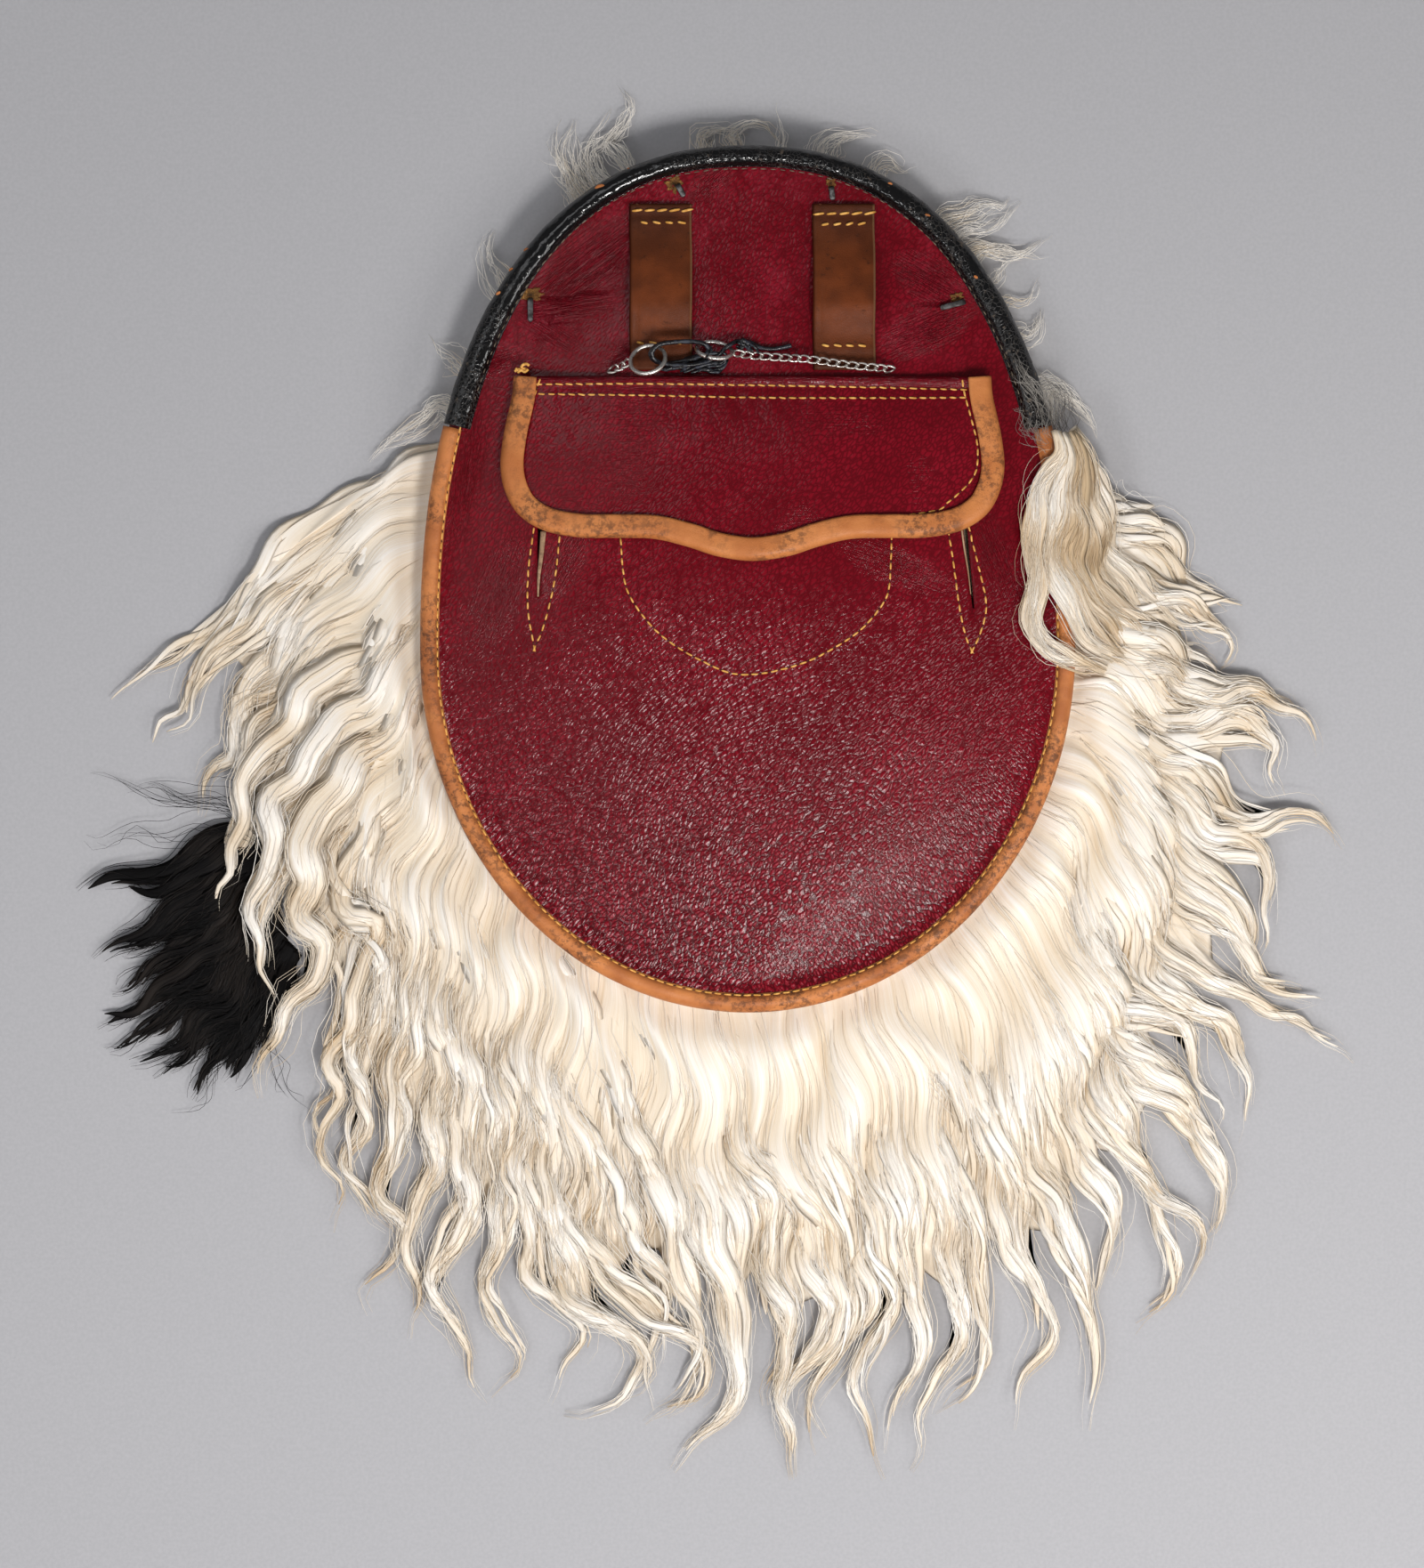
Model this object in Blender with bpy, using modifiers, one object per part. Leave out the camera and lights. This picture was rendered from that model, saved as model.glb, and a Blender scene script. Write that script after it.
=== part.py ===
"""A Highland hair sporran, lying face down so that its leather back shows.

The back is a pouch: a crowned crimson panel over a plain hide front, their edges held in a black
patent roll round the top and a tan binding round the bottom. A bound flap covers the mouth, whose
ends run down as two slits. Two belt loops stand above the flap, with two rings, a fine chain and a
wound leather thong. Long white hair spreads from under the body, with one black tassel.

Metres, +Z up, the back facing up, the belt loops' end towards +Y. Shapes are worked out about the
middle of the body's widest row, and one empty then sets the whole object over the origin.
"""

import bmesh
import bpy
import numpy as np

MM = 0.001
GAP = 0.3 * MM  # left between pieces that touch

# The middle of the body's widest row, from the middle of the whole object's floor plan
BODY_AT = (16.36 * MM, 50.37 * MM)

# The body's outline: a superellipse above its widest row and an ellipse below it
BODY_HALF_WIDTH = 110.5 * MM
BODY_RISE = 170.0 * MM
BODY_DROP = 122.4 * MM
RISE_POWER = 2.3
DROP_POWER = 2.0

# The two walls of the pouch
WALL = 2.0 * MM
FRONT_Z = 12.3 * MM  # underside of the front wall, which lies on the hair
BACK_Z = FRONT_Z + WALL + GAP  # underside of the back wall at its edge
CROWN = 13.0 * MM  # how far the back wall bulges in the middle
CROWN_REACH = 0.915  # the part of the outline's radius that bulges
CROWN_POWER = 2.4
CROWN_SOFTNESS = 1.25
WALL_INSET = 2.1 * MM  # from the body's outline to the walls' cut edge

# The edge of the body: a black roll round the top and a tan binding round the rest
JOIN_Y = 76.0 * MM  # where the roll gives way to the binding
GROOVE_INSET = 1.8 * MM
BINDING_WIDTH = 6.6 * MM
BINDING_LOW = 10.8 * MM
BINDING_HIGH = 18.1 * MM
ROLL_WIDTH_TOP = 7.6 * MM
ROLL_WIDTH_END = 10.2 * MM
ROLL_LOW = 9.6 * MM
ROLL_HIGH = 19.6 * MM
ROLL_STATIONS = 40
BINDING_STATIONS = 60

# The mouth of the pouch, under the flap, and the slit at each of its ends
MOUTH_Y = 60.0 * MM
MOUTH_HEIGHT = 11.0 * MM
MOUTH_LEFT = -69.5 * MM
MOUTH_RIGHT = 72.0 * MM
SLITS = (  # x at the mouth, x at the foot, y of the foot, width at the mouth
    (-69.6 * MM, -70.4 * MM, 18.0 * MM, 2.6 * MM),
    (71.2 * MM, 76.0 * MM, 13.8 * MM, 1.8 * MM),
)
SLIT_FOOT_WIDTH = 0.8 * MM

# The flap: half of its outline, from the hem down to the middle of the dip
FLAP_X = 1.6 * MM
FLAP_OUTLINE = (  # distance from the flap's middle line, y
    (80.4, 92.0), (81.0, 85.0), (83.6, 73.0), (84.8, 62.0), (83.2, 53.0), (78.6, 45.2),
    (70.0, 39.8), (58.0, 37.4), (46.0, 37.2), (33.0, 36.8), (22.0, 34.2), (12.0, 31.0), (0.0, 29.4),
)
FLAP_LIFT = 2.6 * MM  # from the back wall to the flap's underside
HEM_DEPTH = 26.0 * MM  # over which it lifts off the back, from the hem down
HEM_SEWN_HALF = 56.0 * MM  # half of the hem's sewn-down middle
HEM_SIDE_RAMP = 18.0 * MM
HEM_SIDE_LIFT = 1.75 * MM  # the underside's height at the bound ends of the hem
FLAP_CELL = (9.0 * MM, 5.5 * MM)
FLAP_MARGIN = 4.0 * MM  # of the sheet that the flap is cut from
FLAP_STATIONS = 56
FLAP_BINDING_WIDTH = 7.8 * MM
FLAP_BINDING_NOSE = 2.8 * MM  # depth of its rounded outer side
FLAP_BINDING_WALL = 1.2 * MM
FLAP_GROOVE_GAP = 0.45 * MM  # between the flap and the binding, above and below

# The belt loops
LOOP_WIDTH = 21.0 * MM
LOOPS = (("belt_loop_left", -29.2 * MM), ("belt_loop_right", 32.4 * MM))  # name, x of its middle
LOOP_TOP_Y = 150.2 * MM
LOOP_FOOT_Y = 93.8 * MM
LOOP_SEWN_TOP = 8.5 * MM  # sewn flat at the top end
LOOP_SEWN_FOOT = 10.0 * MM  # and at the foot
LOOP_CELLS = (3, 20)  # faces across and along
LOOP_TOP_RAMP = 18.0 * MM  # over which it rises to the flat part, from the top
LOOP_FOOT_RAMP = 9.0 * MM  # and from the foot
LOOP_FLAT_Z = 27.0 * MM  # underside of the flat part

# Rings, chain and thong
RING_RADIUS = 6.0 * MM
RING_WIRE = 1.5 * MM
RINGS = (  # name, x, y, z of its middle, turn in plan, tilt, degrees
    ("ring_left", -33.5, 97.0, 30.6, 20.0, 38.0),
    ("ring_right", -11.2, 100.2, 30.0, -8.0, 60.0),
)
CHAIN_WIDTH = 2.6 * MM
CHAIN_POINTS = 22
CHAIN_ROUTE = (  # x, y, height above the back wall, all in mm
    (-3.0, 99.1, 4.2), (1.0, 98.6, 2.1), (10.0, 98.0, 1.8), (16.0, 97.6, 2.9), (20.5, 97.2, 4.2),
    (30.0, 95.9, 4.1), (38.0, 94.9, 4.1), (43.0, 94.5, 4.2), (47.4, 94.1, 2.1),
)
CHAIN_STUB_WIDTH = 1.8 * MM
CHAIN_STUB_POINTS = 5
CHAIN_STUB_ROUTE = ((-40.9, 95.9, 4.4), (-42.8, 94.9, 2.6), (-45.2, 94.2, 1.3))
THONG_THICKNESS = 1.5 * MM
THONG_POINTS = 78

# The four bent pins of the front's fittings: x and y of its hole, direction and length of its prong
PIN_THICKNESS = 1.6 * MM
PIN_HOLE = 2.4 * MM
PIN_BEND = 1.5 * MM  # radius of the bend
PIN_DROOP = 0.2 * MM  # the most that its end may fall below the bend
PINS = (
    ("cantle_pin_1", -73.2, 118.4, -90.0, 8.0),
    ("cantle_pin_2", -23.6, 156.6, -62.0, 4.6),
    ("cantle_pin_3", 28.2, 155.8, -84.0, 4.4),
    ("cantle_pin_4", 73.2, 117.2, -165.0, 8.6),
)

# The white hair: how far it reaches from the body's middle in each direction
HAIR_REACH = (  # direction in degrees, reach in mm
    (-90, 272), (-80, 281), (-72, 276), (-66, 280), (-60, 268), (-52, 252), (-45, 234), (-39, 222),
    (-34.3, 247), (-29, 208), (-24, 196), (-18, 206), (-10, 194), (-3, 178), (4, 162), (14, 146),
    (26, 139), (38, 137), (48, 144), (60, 162), (75, 174), (90, 176), (105, 176), (120, 168),
    (134, 149), (146, 134), (157, 142), (166, 158), (174, 180), (180, 207), (186, 206), (193, 192),
    (198, 174), (205, 179), (213, 193), (221, 214), (228, 222), (235, 240), (243, 256), (251, 270),
    (258, 262), (264, 268),
)
HAIR_SPOKES = 72
HAIR_UNDER_FRONT = 12.0 * MM
HAIR_UNDER_EDGE = 9.0 * MM
HAIR_PUFF = 13.0 * MM  # its height just outside the body
HAIR_TIP = 2.5 * MM
HAIR_CORE = 60.0 * MM  # how far under the body the solid's flat middle begins
HAIR_STEP = (13.0 * MM, 11.5 * MM)  # how far under the body it steps down for the binding
HAIR_CLEAR = 0.5 * MM  # how far outside the body it starts to rise
HAIR_SPRING = 4.0 * MM  # how far outside it has risen
HAIR_FULL_ROOM = 40.0 * MM  # hair shorter than this rises less
HAIR_MIDDLE = 0.55  # part of the way to the tips where its slope changes
HAIR_MIDDLE_HEIGHT = 0.65  # part of its height that is left there

TASSEL_POINTS = 9  # across its domed upper side
TASSEL_ROUNDNESS = 0.6  # power of the dome: below 1 it is boxier than an ellipse
TASSEL_STATIONS = (  # x, lower y, upper y, height, all in mm
    (-164.0, -139.0, -69.0, 9.0), (-176.0, -148.0, -62.0, 12.0), (-190.0, -151.0, -66.0, 12.0),
    (-206.0, -149.0, -76.0, 10.0), (-219.0, -142.0, -80.0, 7.0), (-228.0, -132.0, -82.0, 5.0),
    (-232.0, -118.0, -90.0, 3.0),
)
EDGE_LOCK_STATIONS = (  # y, inner x, outer x, top z, all in mm
    (74.0, 101.0, 112.5, 21.0), (60.0, 96.5, 119.0, 24.0), (45.0, 93.5, 123.0, 25.5),
    (28.0, 95.5, 124.0, 25.5), (11.0, 94.5, 124.0, 25.0), (-4.0, 98.5, 124.0, 22.0),
)
EDGE_LOCK_OVER_BODY = 18.6 * MM
EDGE_LOCK_OVER_HAIR = 13.5 * MM
EDGE_LOCK_CLEAR = 1.2 * MM  # between the body's outline and the step down to the hair
EDGE_LOCK_STEP = 0.3 * MM  # how far the step leans inwards
EDGE_LOCK_SHOULDERS = (0.12, 0.15)  # parts of its width to the inner and the outer shoulder
EDGE_LOCK_RISE = 0.8 * MM  # the inner shoulder, over half way up
EDGE_LOCK_FALL = 3.0 * MM  # the outer shoulder, below the top
EDGE_LOCK_FOOT = (1.0 * MM, 1.5 * MM)  # width and height of its bevelled outer foot

COLOURS = {  # base colour, roughness, metallic
    "crimson_leather": ((0.16, 0.012, 0.026), 0.42, 0.0),
    "tan_leather": ((0.52, 0.21, 0.065), 0.55, 0.0),
    "patent_leather": ((0.012, 0.011, 0.011), 0.18, 0.0),
    "brown_leather": ((0.11, 0.036, 0.014), 0.38, 0.0),
    "thong_leather": ((0.014, 0.014, 0.016), 0.45, 0.0),
    "steel": ((0.42, 0.40, 0.37), 0.32, 1.0),
    "pin_metal": ((0.13, 0.13, 0.14), 0.50, 1.0),
    "hide": ((0.45, 0.36, 0.24), 0.80, 0.0),
    "white_hair": ((0.80, 0.72, 0.56), 0.55, 0.0),
    "black_hair": ((0.012, 0.011, 0.011), 0.50, 0.0),
}

for old in list(bpy.data.objects):
    bpy.data.objects.remove(old, do_unlink=True)


def new_collection(name):
    collection = bpy.data.collections.new(name)
    bpy.context.scene.collection.children.link(collection)
    return collection


SPORRAN = new_collection("sporran")
CUTTERS = new_collection("cutters")
ORIGIN = bpy.data.objects.new("body_middle", None)
ORIGIN.location = (*BODY_AT, 0.0)
SPORRAN.objects.link(ORIGIN)


def material(name):
    """The Principled material of that name, made on its first use."""
    if name in bpy.data.materials:
        return bpy.data.materials[name]
    colour, roughness, metallic = COLOURS[name]
    made = bpy.data.materials.new(name)
    made.use_nodes = True
    shader = made.node_tree.nodes["Principled BSDF"]
    shader.inputs["Base Color"].default_value = (*colour, 1.0)
    shader.inputs["Roughness"].default_value = roughness
    shader.inputs["Metallic"].default_value = metallic
    return made


def add_piece(name, data, finish):
    """An object of the sporran, placed from the middle of the body."""
    piece = bpy.data.objects.new(name, data)
    data.materials.append(material(finish))
    SPORRAN.objects.link(piece)
    piece.parent = ORIGIN
    return piece


def add_cutter(name, data):
    cutter = bpy.data.objects.new(name, data)
    CUTTERS.objects.link(cutter)
    cutter.parent = ORIGIN
    cutter.hide_render = True
    cutter.display_type = "WIRE"
    return cutter


def shade_round(mesh, sharp_angle=0.6):
    mesh.shade_smooth()
    mesh.set_sharp_from_angle(angle=sharp_angle)


# --- the body's outline and its crowned back -----------------------------------------------------


def body_sizes(up):
    """Height and power of the outline's upper or lower half, for an array of booleans."""
    return np.where(up, BODY_RISE, BODY_DROP), np.where(up, RISE_POWER, DROP_POWER)


def body_edge(turns, inset=0.0):
    """Points (n, 2) of the body's outline at the angles turns, moved inwards by inset."""
    cosine, sine = np.cos(turns), np.sin(turns)
    height, power = body_sizes(sine >= 0)
    x = BODY_HALF_WIDTH * np.sign(cosine) * np.abs(cosine) ** (2 / power)
    y = height * np.sign(sine) * np.abs(sine) ** (2 / power)
    across = np.sign(x) * np.abs(x / BODY_HALF_WIDTH) ** (power - 1) / BODY_HALF_WIDTH
    along = np.sign(y) * np.abs(y / height) ** (power - 1) / height
    length = np.hypot(across, along)
    return np.stack([x - inset * across / length, y - inset * along / length], axis=1)


def body_radius(x, y):
    """0 at the body's middle and 1 on its outline."""
    height, power = body_sizes(np.asarray(y) >= 0)
    return (np.abs(x / BODY_HALF_WIDTH) ** power + np.abs(y / height) ** power) ** (1 / power)


def crown(x, y):
    """How far the back wall bulges at a point."""
    inside = np.clip(body_radius(x, y) / CROWN_REACH, 0.0, 1.0)
    return CROWN * (1.0 - inside**CROWN_POWER) ** CROWN_SOFTNESS


def back_surface(x, y):
    """Height of the back wall's outer face."""
    return BACK_Z + WALL + crown(x, y)


def smooth_step(t):
    t = np.clip(t, 0.0, 1.0)
    return t * t * (3.0 - 2.0 * t)


def smooth_line(points, count):
    """count points, evenly spaced along a Catmull-Rom curve through the given points."""
    knots = np.asarray(points, float)
    padded = np.vstack([2 * knots[0] - knots[1], knots, 2 * knots[-1] - knots[-2]])
    dense = []
    steps = np.linspace(0.0, 1.0, 24, endpoint=False)[:, None]
    for a, b, c, d in zip(padded, padded[1:], padded[2:], padded[3:]):
        dense.append(
            0.5
            * (
                2 * b
                + (c - a) * steps
                + (2 * a - 5 * b + 4 * c - d) * steps**2
                + (3 * b - a - 3 * c + d) * steps**3
            )
        )
    line = np.vstack([*dense, knots[-1:]])
    run = np.concatenate([[0.0], np.cumsum(np.linalg.norm(np.diff(line, axis=0), axis=1))])
    at = np.linspace(0.0, run[-1], count)
    return np.stack([np.interp(at, run, line[:, k]) for k in range(line.shape[1])], axis=1)


# --- ways of making a solid ----------------------------------------------------------------------


def prism(name, outline, low, high):
    """A cutter: a flat outline, extruded from one height to the other."""
    curve = bpy.data.curves.new(name, "CURVE")
    curve.dimensions = "2D"
    curve.fill_mode = "BOTH"
    curve.extrude = (high - low) / 2
    spline = curve.splines.new("POLY")
    spline.points.add(len(outline) - 1)
    spline.points.foreach_set("co", np.pad(outline, ((0, 0), (0, 2))).ravel())
    spline.use_cyclic_u = True
    flat = bpy.data.objects.new(name, curve)
    CUTTERS.objects.link(flat)
    bpy.context.view_layer.update()
    mesh = bpy.data.meshes.new_from_object(flat.evaluated_get(bpy.context.evaluated_depsgraph_get()))
    bpy.data.objects.remove(flat)
    work = bmesh.new()
    work.from_mesh(mesh)
    bmesh.ops.remove_doubles(work, verts=work.verts, dist=0.01 * MM)
    bmesh.ops.translate(work, verts=work.verts, vec=(0.0, 0.0, (low + high) / 2))
    bmesh.ops.recalc_face_normals(work, faces=work.faces)
    work.to_mesh(mesh)
    work.free()
    return add_cutter(name, mesh)


def solidified(name, mesh, finish):
    """A piece of leather: an open surface thickened upwards by one wall."""
    piece = add_piece(name, mesh, finish)
    wall = piece.modifiers.new("wall", "SOLIDIFY")
    wall.thickness = WALL
    wall.offset = 1.0
    return piece


def sheet(name, low, high, cells, height, finish):
    """Leather over a rectangle: a grid of cells (across, along), bent to height(x, y)."""
    work = bmesh.new()
    bmesh.ops.create_grid(work, x_segments=cells[0], y_segments=cells[1], size=0.5)
    mesh = bpy.data.meshes.new(name)
    work.to_mesh(mesh)
    work.free()
    points = np.empty(len(mesh.vertices) * 3)
    mesh.vertices.foreach_get("co", points)
    points = points.reshape(-1, 3)
    points[:, :2] = low + (points[:, :2] + 0.5) * (np.asarray(high) - low)
    points[:, 2] = height(points[:, 0], points[:, 1])
    mesh.vertices.foreach_set("co", points.ravel())
    return solidified(name, mesh, finish)


def cut(piece, cutter, operation):
    modifier = piece.modifiers.new(cutter.name, "BOOLEAN")
    modifier.operation = operation
    modifier.solver = "EXACT"
    modifier.object = cutter


def loft(name, sections, finish):
    """A solid through closed sections (stations, points, 3), capped at both ends."""
    stations, around, _ = sections.shape
    first = np.arange(around)
    following = np.roll(first, -1)
    faces = [first[::-1].tolist(), (first + (stations - 1) * around).tolist()]
    for k in range(stations - 1):
        ring = np.stack([first, following, following + around, first + around], axis=1)
        faces += (ring + k * around).tolist()
    mesh = bpy.data.meshes.new(name)
    mesh.from_pydata(sections.reshape(-1, 3).tolist(), [], faces)
    work = bmesh.new()
    work.from_mesh(mesh)
    bmesh.ops.recalc_face_normals(work, faces=work.faces)
    work.to_mesh(mesh)
    work.free()
    shade_round(mesh)
    add_piece(name, mesh, finish)


def tube(name, points, thickness, finish, sides=2):
    """A round wire along points, which are placed from the body's middle."""
    curve = bpy.data.curves.new(name, "CURVE")
    curve.dimensions = "3D"
    curve.bevel_depth = thickness / 2
    curve.bevel_resolution = sides
    curve.use_fill_caps = True
    spline = curve.splines.new("POLY")
    spline.points.add(len(points) - 1)
    spline.points.foreach_set("co", np.pad(points, ((0, 0), (0, 1)), constant_values=1.0).ravel())
    add_piece(name, curve, finish)


# --- the pouch ------------------------------------------------------------------------------------


TURNS = np.linspace(0.0, 2 * np.pi, 64, endpoint=False)
CROWN_RINGS = (CROWN_REACH, 0.87, 0.81, 0.72, 0.58, 0.40, 0.20)  # parts of the outline's radius


def wall_outline():
    return body_edge(TURNS, WALL_INSET)


def front_panel():
    """The hide of the front, flat under the body and hidden all over."""
    edge = wall_outline()
    flat = np.repeat(np.pad(edge, ((0, 0), (0, 1)))[None], 2, axis=0)
    flat[0, :, 2] = FRONT_Z
    flat[1, :, 2] = FRONT_Z + WALL
    loft("front_panel", flat, "hide")


def slit_outline(x_top, x_foot, y_foot, width):
    """A long wedge from the mouth's middle line down to the slit's foot."""
    half, foot = width / 2, SLIT_FOOT_WIDTH / 2
    return np.array(
        [
            (x_foot - foot, y_foot),
            (x_foot + foot, y_foot),
            (x_top + half, MOUTH_Y),
            (x_top - half, MOUTH_Y),
        ]
    )


def back_panel():
    """The crowned crimson back with its mouth, the slits at the mouth's ends and the pin holes.

    It is a disc of rings: the outer two are flat and lie in the grooves, the rest follow crown."""
    edge = wall_outline()
    spokes = len(edge)
    rings = [edge] + [body_edge(TURNS) * part for part in CROWN_RINGS]
    flat = np.vstack([*rings, np.zeros((1, 2))])
    points = np.column_stack([flat, BACK_Z + crown(flat[:, 0], flat[:, 1])])
    first = np.arange(spokes)
    following = np.roll(first, -1)
    faces = []
    for k in range(len(rings) - 1):
        ring_faces = np.stack([first, following, following + spokes, first + spokes], axis=1)
        faces += (ring_faces + k * spokes).tolist()
    last = (len(rings) - 1) * spokes
    faces += [(a + last, b + last, len(flat) - 1) for a, b in zip(first.tolist(), following.tolist())]
    mesh = bpy.data.meshes.new("back_panel")
    mesh.from_pydata(points.tolist(), [], faces)
    piece = solidified("back_panel", mesh, "crimson_leather")
    high = BACK_Z + CROWN + 10 * WALL
    low_y, high_y = MOUTH_Y - MOUTH_HEIGHT / 2, MOUTH_Y + MOUTH_HEIGHT / 2
    mouth = np.array(
        [(MOUTH_LEFT, low_y), (MOUTH_RIGHT, low_y), (MOUTH_RIGHT, high_y), (MOUTH_LEFT, high_y)]
    )
    cut(piece, prism("cutter_mouth", mouth, 0.0, high), "DIFFERENCE")
    for number, slit in enumerate(SLITS, start=1):
        cut(piece, prism(f"cutter_slit_{number}", slit_outline(*slit), 0.0, high), "DIFFERENCE")
    for name, x, y, _, _ in PINS:
        turns = np.linspace(0.0, 2 * np.pi, 8, endpoint=False)
        hole = np.stack([np.cos(turns), np.sin(turns)], axis=1) * PIN_HOLE / 2 + (x * MM, y * MM)
        cut(piece, prism(f"cutter_{name}", hole, 0.0, high), "DIFFERENCE")


def wrapped_edge(width, low, high, groove_low, groove_high, nose_depth):
    """A strip folded round an edge: distances inwards from the edge (stations, rows) and heights.

    It runs along the upper lip, round a half-round nose, back under the lower lip and into the
    groove that holds the walls. width may be an array with one value for each station."""
    nose = np.linspace(np.pi / 2, -np.pi / 2, 7)
    width = np.atleast_1d(width)[:, None]
    ones = np.ones_like(width)
    floor = ones * GROOVE_INSET
    inwards = np.hstack([width, ones * nose_depth * (1 - np.cos(nose)), width, width, floor, floor,
                         width])
    heights = np.concatenate(
        [[high], (high + low) / 2 + (high - low) / 2 * np.sin(nose),
         [low, groove_low, groove_low, groove_high, groove_high]]
    )
    return inwards, heights


def edge_strip(name, turns, width, low, high, finish):
    """A strip along the body's outline, wrapped round the edges of both walls."""
    inwards, heights = wrapped_edge(
        width, low, high, FRONT_Z - GAP, BACK_Z + WALL + GAP, (high - low) / 2
    )
    inwards = np.broadcast_to(inwards, (len(turns), inwards.shape[1]))
    sections = np.empty((*inwards.shape, 3))
    for k in range(inwards.shape[1]):
        sections[:, k, :2] = body_edge(turns, inwards[:, k])
        sections[:, k, 2] = heights[k]
    return loft(name, sections, finish)


def edge_pieces():
    """The patent roll from join to join over the top, and the tan binding round the rest."""
    join = np.arcsin((JOIN_Y / BODY_RISE) ** (RISE_POWER / 2))
    slack = GAP / BODY_HALF_WIDTH
    over = np.linspace(join + slack, np.pi - join - slack, ROLL_STATIONS)
    width = ROLL_WIDTH_TOP + (ROLL_WIDTH_END - ROLL_WIDTH_TOP) * np.cos(over) ** 2
    edge_strip("cantle_rim", over, width, ROLL_LOW, ROLL_HIGH, "patent_leather")
    under = np.linspace(np.pi - join + slack, 2 * np.pi + join - slack, BINDING_STATIONS)
    edge_strip("body_binding", under, BINDING_WIDTH, BINDING_LOW, BINDING_HIGH, "tan_leather")


# --- the flap --------------------------------------------------------------------------------------


def flap_edge(count):
    """The flap's bound edge, from the hem's left end round the dip to its right end."""
    half = np.array(FLAP_OUTLINE) * MM
    left = half * (-1, 1)
    both = np.vstack([left, half[-2::-1]])
    return smooth_line(both + (FLAP_X, 0.0), count)


def sideways(line):
    """Unit vectors to the left of a line's direction of travel."""
    along = np.gradient(line, axis=0)
    along /= np.linalg.norm(along, axis=1)[:, None]
    return np.stack([-along[:, 1], along[:, 0]], axis=1)


def flap_lift(x, y):
    """Height of the flap's underside over the back wall.

    The hem is sewn down between its bound ends, and the rest rises off the back below it."""
    hem_y = FLAP_OUTLINE[0][1] * MM
    bound_end = smooth_step((np.abs(x - FLAP_X) - HEM_SEWN_HALF) / HEM_SIDE_RAMP)
    hem = GAP + (HEM_SIDE_LIFT - GAP) * bound_end
    return hem + (FLAP_LIFT - hem) * smooth_step((hem_y - y) / HEM_DEPTH)


def flap_pieces():
    """The flap of one sheet and the tan binding that wraps its sides and foot."""
    edge = flap_edge(FLAP_STATIONS)
    inwards = sideways(edge)
    flap_outline = edge + inwards * WALL_INSET
    low = flap_outline.min(axis=0) - FLAP_MARGIN
    high = flap_outline.max(axis=0) + FLAP_MARGIN
    cells = np.ceil((high - low) / FLAP_CELL).astype(int).tolist()
    flap = sheet(
        "pocket_flap", low, high, cells, lambda x, y: back_surface(x, y) + flap_lift(x, y),
        "crimson_leather",
    )
    cut(flap, prism("cutter_flap", flap_outline[::-1], 0.0, 10 * CROWN), "INTERSECT")

    # Heights run from 0 at the strip's foot to 1 at its top, but the groove's follow the flap
    rows, shares = wrapped_edge(FLAP_BINDING_WIDTH, 0.0, 1.0, 0.0, 0.0, FLAP_BINDING_NOSE)
    floor_rows = (len(shares) - 4, len(shares) - 3)
    roof_rows = (len(shares) - 2, len(shares) - 1)
    sections = np.empty((len(edge), len(shares), 3))
    for k, share in enumerate(shares):
        flat = edge + inwards * rows[0, k]
        lift = flap_lift(flat[:, 0], flat[:, 1])
        floor, roof = lift - FLAP_GROOVE_GAP, lift + WALL + FLAP_GROOVE_GAP
        height = GAP + share * (roof + FLAP_BINDING_WALL - GAP)
        height = floor if k in floor_rows else roof if k in roof_rows else height
        sections[:, k, :2] = flat
        sections[:, k, 2] = back_surface(flat[:, 0], flat[:, 1]) + height
    loft("flap_binding", sections, "tan_leather")


# --- belt loops and pins ---------------------------------------------------------------------------


def belt_loop(name, middle):
    """A strap sewn down at both ends and raised between them, so that a belt passes under."""

    def height(x, y):
        rise = smooth_step((y - (LOOP_FOOT_Y + LOOP_SEWN_FOOT)) / LOOP_FOOT_RAMP)
        fall = smooth_step((LOOP_TOP_Y - LOOP_SEWN_TOP - y) / LOOP_TOP_RAMP)
        up = rise * fall
        return (1.0 - up) * (back_surface(x, y) + GAP) + up * LOOP_FLAT_Z

    low, high = np.array([middle, LOOP_FOOT_Y]), np.array([middle, LOOP_TOP_Y])
    low[0] -= LOOP_WIDTH / 2
    high[0] += LOOP_WIDTH / 2
    sheet(name, low, high, LOOP_CELLS, height, "brown_leather")


def cantle_pin(name, x, y, direction, length):
    """A prong that comes up through the back wall and is bent flat on it."""
    x, y, length = x * MM, y * MM, length * MM
    across = np.array([np.cos(np.radians(direction)), np.sin(np.radians(direction))])
    foot = FRONT_Z + WALL + GAP
    rest = PIN_THICKNESS / 2 + GAP
    turns = np.linspace(0.0, np.pi / 2, 5)
    run = np.concatenate([[0.0], PIN_BEND * (1 - np.cos(turns)), [length / 2, length]])
    flat = np.array([x, y]) + run[:, None] * across
    level = back_surface(flat[:, 0], flat[:, 1]).max() + rest
    bent = level - PIN_BEND + PIN_BEND * np.sin(turns)
    heights = np.concatenate([[foot], bent, [level, level]])
    heights[-2:] = np.maximum(back_surface(flat[-2:, 0], flat[-2:, 1]) + rest, level - PIN_DROOP)
    tube(name, np.column_stack([flat, heights]), PIN_THICKNESS, "pin_metal", sides=1)


# --- rings, chain and thong -------------------------------------------------------------------------


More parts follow.
